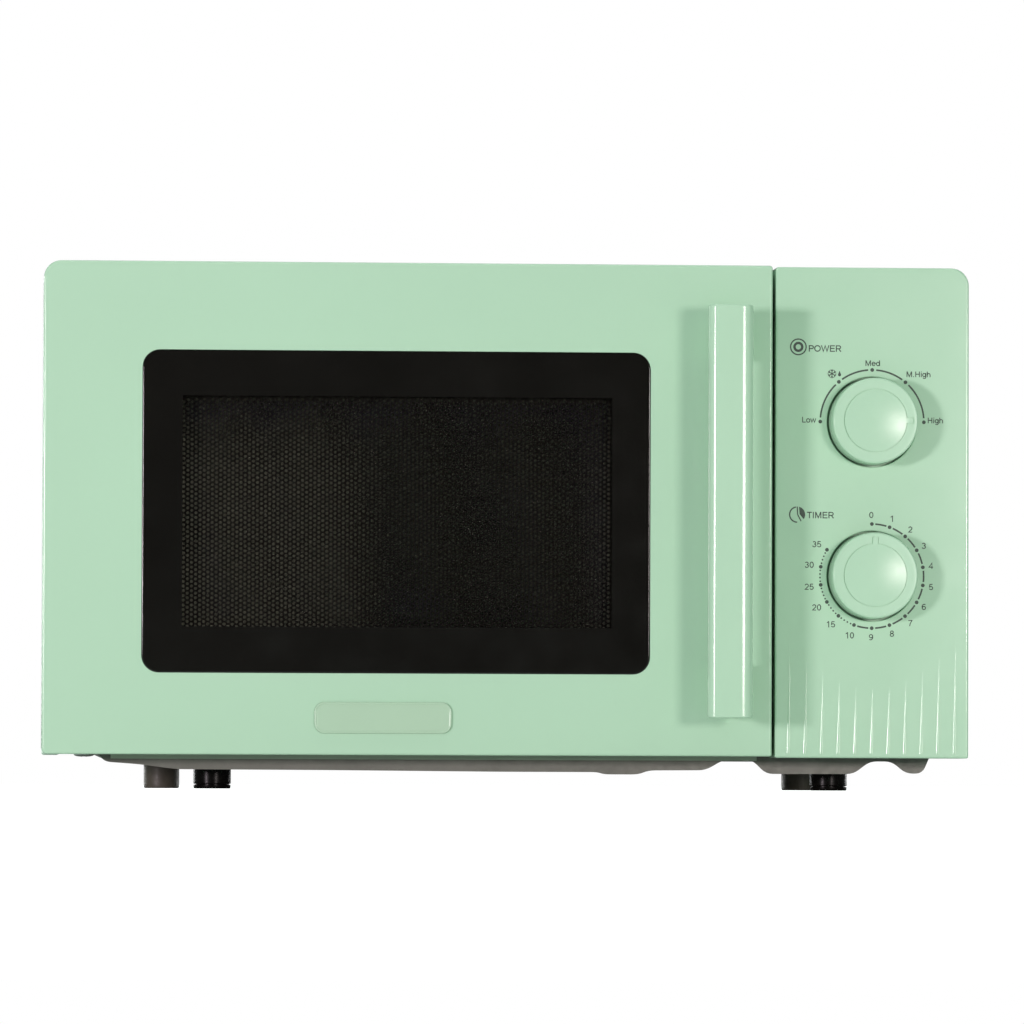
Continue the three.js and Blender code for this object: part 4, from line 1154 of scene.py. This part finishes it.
KEPT = {
    "galvanised": ["waveguide", "door_panel", "upper_hinge", "lower_hinge", "control_bracket",
                   "capacitor_clamp", "turntable_motor"],
    # The front frame takes the mint paint darkened with painted shade.
    "front_plate_paint": ["front_frame"],
    "clear_film": ["inner_window"],
    "black_plastic": ["choke_cover", "primary_switch", "secondary_switch", "monitor_switch",
                      "high_voltage_diode", "cord_gland"],
    "white_plastic": ["roller_ring", "roller_1", "roller_2", "roller_3", "turntable_coupler", "fan_duct",
                      "fan_impeller", "lamp_socket", "latch_board", "door_latch", "timer_unit",
                      "power_selector", "timer_shaft", "power_shaft", "thermal_cutout"],
    "lamp_glass": ["lamp_bulb"],
    "mica": ["waveguide_cover"],
    "core_steel": ["transformer_core", "fan_motor"],
    "copper": ["primary_winding", "secondary_winding"],
    "zinc_steel": ["magnetron_body", "magnetron_antenna", "capacitor", "latch_spring"],
    "board": ["noise_filter"],
    "cable": ["wiring_harness"],
}


KEPT_EDGE = 0.3
FINE_EDGE = 0.1
FINE_NODES = ("latch_spring", "inner_window")


def keep_nodes():
    """Rounds off the edges of the CAD nodes that stay, and gives each one its material."""
    for look, names in KEPT.items():
        for name in names:
            node = frame["nodes"][name]
            dress(node, look)
            modify(node, "weld", "WELD", merge_threshold=0.01 * MM)
            soften(node, FINE_EDGE if name in FINE_NODES else KEPT_EDGE)
            even_light(node)


# ---- Studio ----


def area_light(name, place, aim, width, height, power, colour=(1, 1, 1)):
    light = bpy.data.lights.new(name, "AREA")
    light.shape = "RECTANGLE"
    light.size = width
    light.size_y = height
    light.energy = power
    light.color = colour
    holder = place_object(name, light)
    holder.location = place
    holder.rotation_euler = (Vector(aim) - Vector(place)).to_track_quat("-Z", "Y").to_euler()


def studio():
    """A white backdrop that gives a pale green fill, two small lamps in front and soft ones behind."""
    scene = bpy.context.scene
    scene.view_settings.view_transform = "Standard"
    world = bpy.data.worlds.new("studio")
    scene.world = world
    world.use_nodes = True
    tree = world.node_tree
    out = tree.nodes["World Output"]
    path = tree.nodes.new("ShaderNodeLightPath")

    def backdrop(colour, strength):
        node = tree.nodes.new("ShaderNodeBackground")
        node.inputs["Color"].default_value = colour
        node.inputs["Strength"].default_value = strength
        return node

    def choose(question, no, yes):
        node = tree.nodes.new("ShaderNodeMixShader")
        for source, socket in zip((path.outputs[question], no.outputs[0], yes.outputs[0]), node.inputs):
            tree.links.new(source, socket)
        return node

    unseen = choose("Is Glossy Ray", backdrop((0.7, 1.0, 0.88, 1), 0.31), backdrop((1, 1, 1, 1), 0.02))
    shown = choose("Is Camera Ray", unseen, backdrop((1, 1, 1, 1), 1.0))
    tree.links.new(shown.outputs[0], out.inputs["Surface"])

    middle = (0, FACE * MM, 0.14)
    area_light("key_left", (-1.61, -2.05, 0.225), middle, 0.3, 0.22, 27, (1.0, 0.86, 0.93))
    area_light("key_right", (0.78, -2.18, 0.22), middle, 0.3, 0.24, 12.6, (0.98, 0.88, 0.86))
    area_light("top", (0, 0.1, 1.7), (0, 0.05, 0), 1.6, 1.4, 12)
    area_light("rear_left", (-1.6, 2.4, 0.3), (0, 0.1, 0.12), 1.2, 0.5, 22)
    area_light("rear_right", (1.9, 2.0, 0.3), (0, 0.1, 0.12), 1.2, 0.5, 18)


# Light that the floor seems to give off, so that it is as pale as the backdrop.
FLOOR_GLOW = 0.95


def floor():
    mesh = bmesh.new()
    bmesh.ops.create_grid(mesh, x_segments=1, y_segments=1, size=7000)
    ground = to_object(mesh, "floor")
    nodes = Nodes("floor_paper")
    paper = nodes.blend(nodes.spread(nodes.noise(300), 0, 1), (0.86, 0.86, 0.86, 1), (0.88, 0.88, 0.88, 1))
    nodes.give(nodes.shader.inputs["Base Color"], paper)
    nodes.shader.inputs["Roughness"].default_value = 0.9
    nodes.shader.inputs["Specular IOR Level"].default_value = 0.0
    nodes.shader.inputs["Emission Color"].default_value = (1, 1, 1, 1)
    seen = nodes.add("ShaderNodeLightPath").outputs["Is Camera Ray"]
    nodes.give(nodes.shader.inputs["Emission Strength"], nodes.times(seen, FLOOR_GLOW))
    ground.data.materials.append(nodes.material)


def camera():
    data = bpy.data.cameras.new("camera")
    data.lens = CAMERA_LENS
    data.sensor_width = SENSOR
    data.clip_end = 100
    holder = place_object("camera", data)
    turn = Matrix.Rotation(math.radians(-CAMERA_TURN), 4, "Z")
    tilt = Matrix.Rotation(math.radians(90 + CAMERA_TILT), 4, "X")
    roll = Matrix.Rotation(math.radians(CAMERA_ROLL), 4, "Z")
    place = Matrix.Translation([value * MM for value in CAMERA_PLACE])
    holder.matrix_world = place @ turn @ tilt @ roll
    bpy.context.scene.camera = holder


camera()
studio()
floor()
door_shell()
window_pane()
perforated_screen()
handle_bar()
badge_plate()
control_fascia()
panel_ribs()
knob_piece("power_knob_cap", "power_knob", "power_control", 0)
knob_piece("timer_knob_cap", "timer_knob", "timer_control", 90)
dial_marks()
case_shell()
back_panel()
bottom_pan()
for front_foot in ("foot_front_left", "foot_front_right"):
    foot_piece(front_foot, "black_rubber", groove=True)
# Rear feet: black rubber feet given a grey-brown painted light instead of their own black.
for rear_foot in ("foot_rear_left", "foot_rear_right"):
    foot_piece(rear_foot, "grey_rubber", groove=False)
screws()
cavity_liner()
tray()
keep_nodes()

bpy.context.view_layer.update()
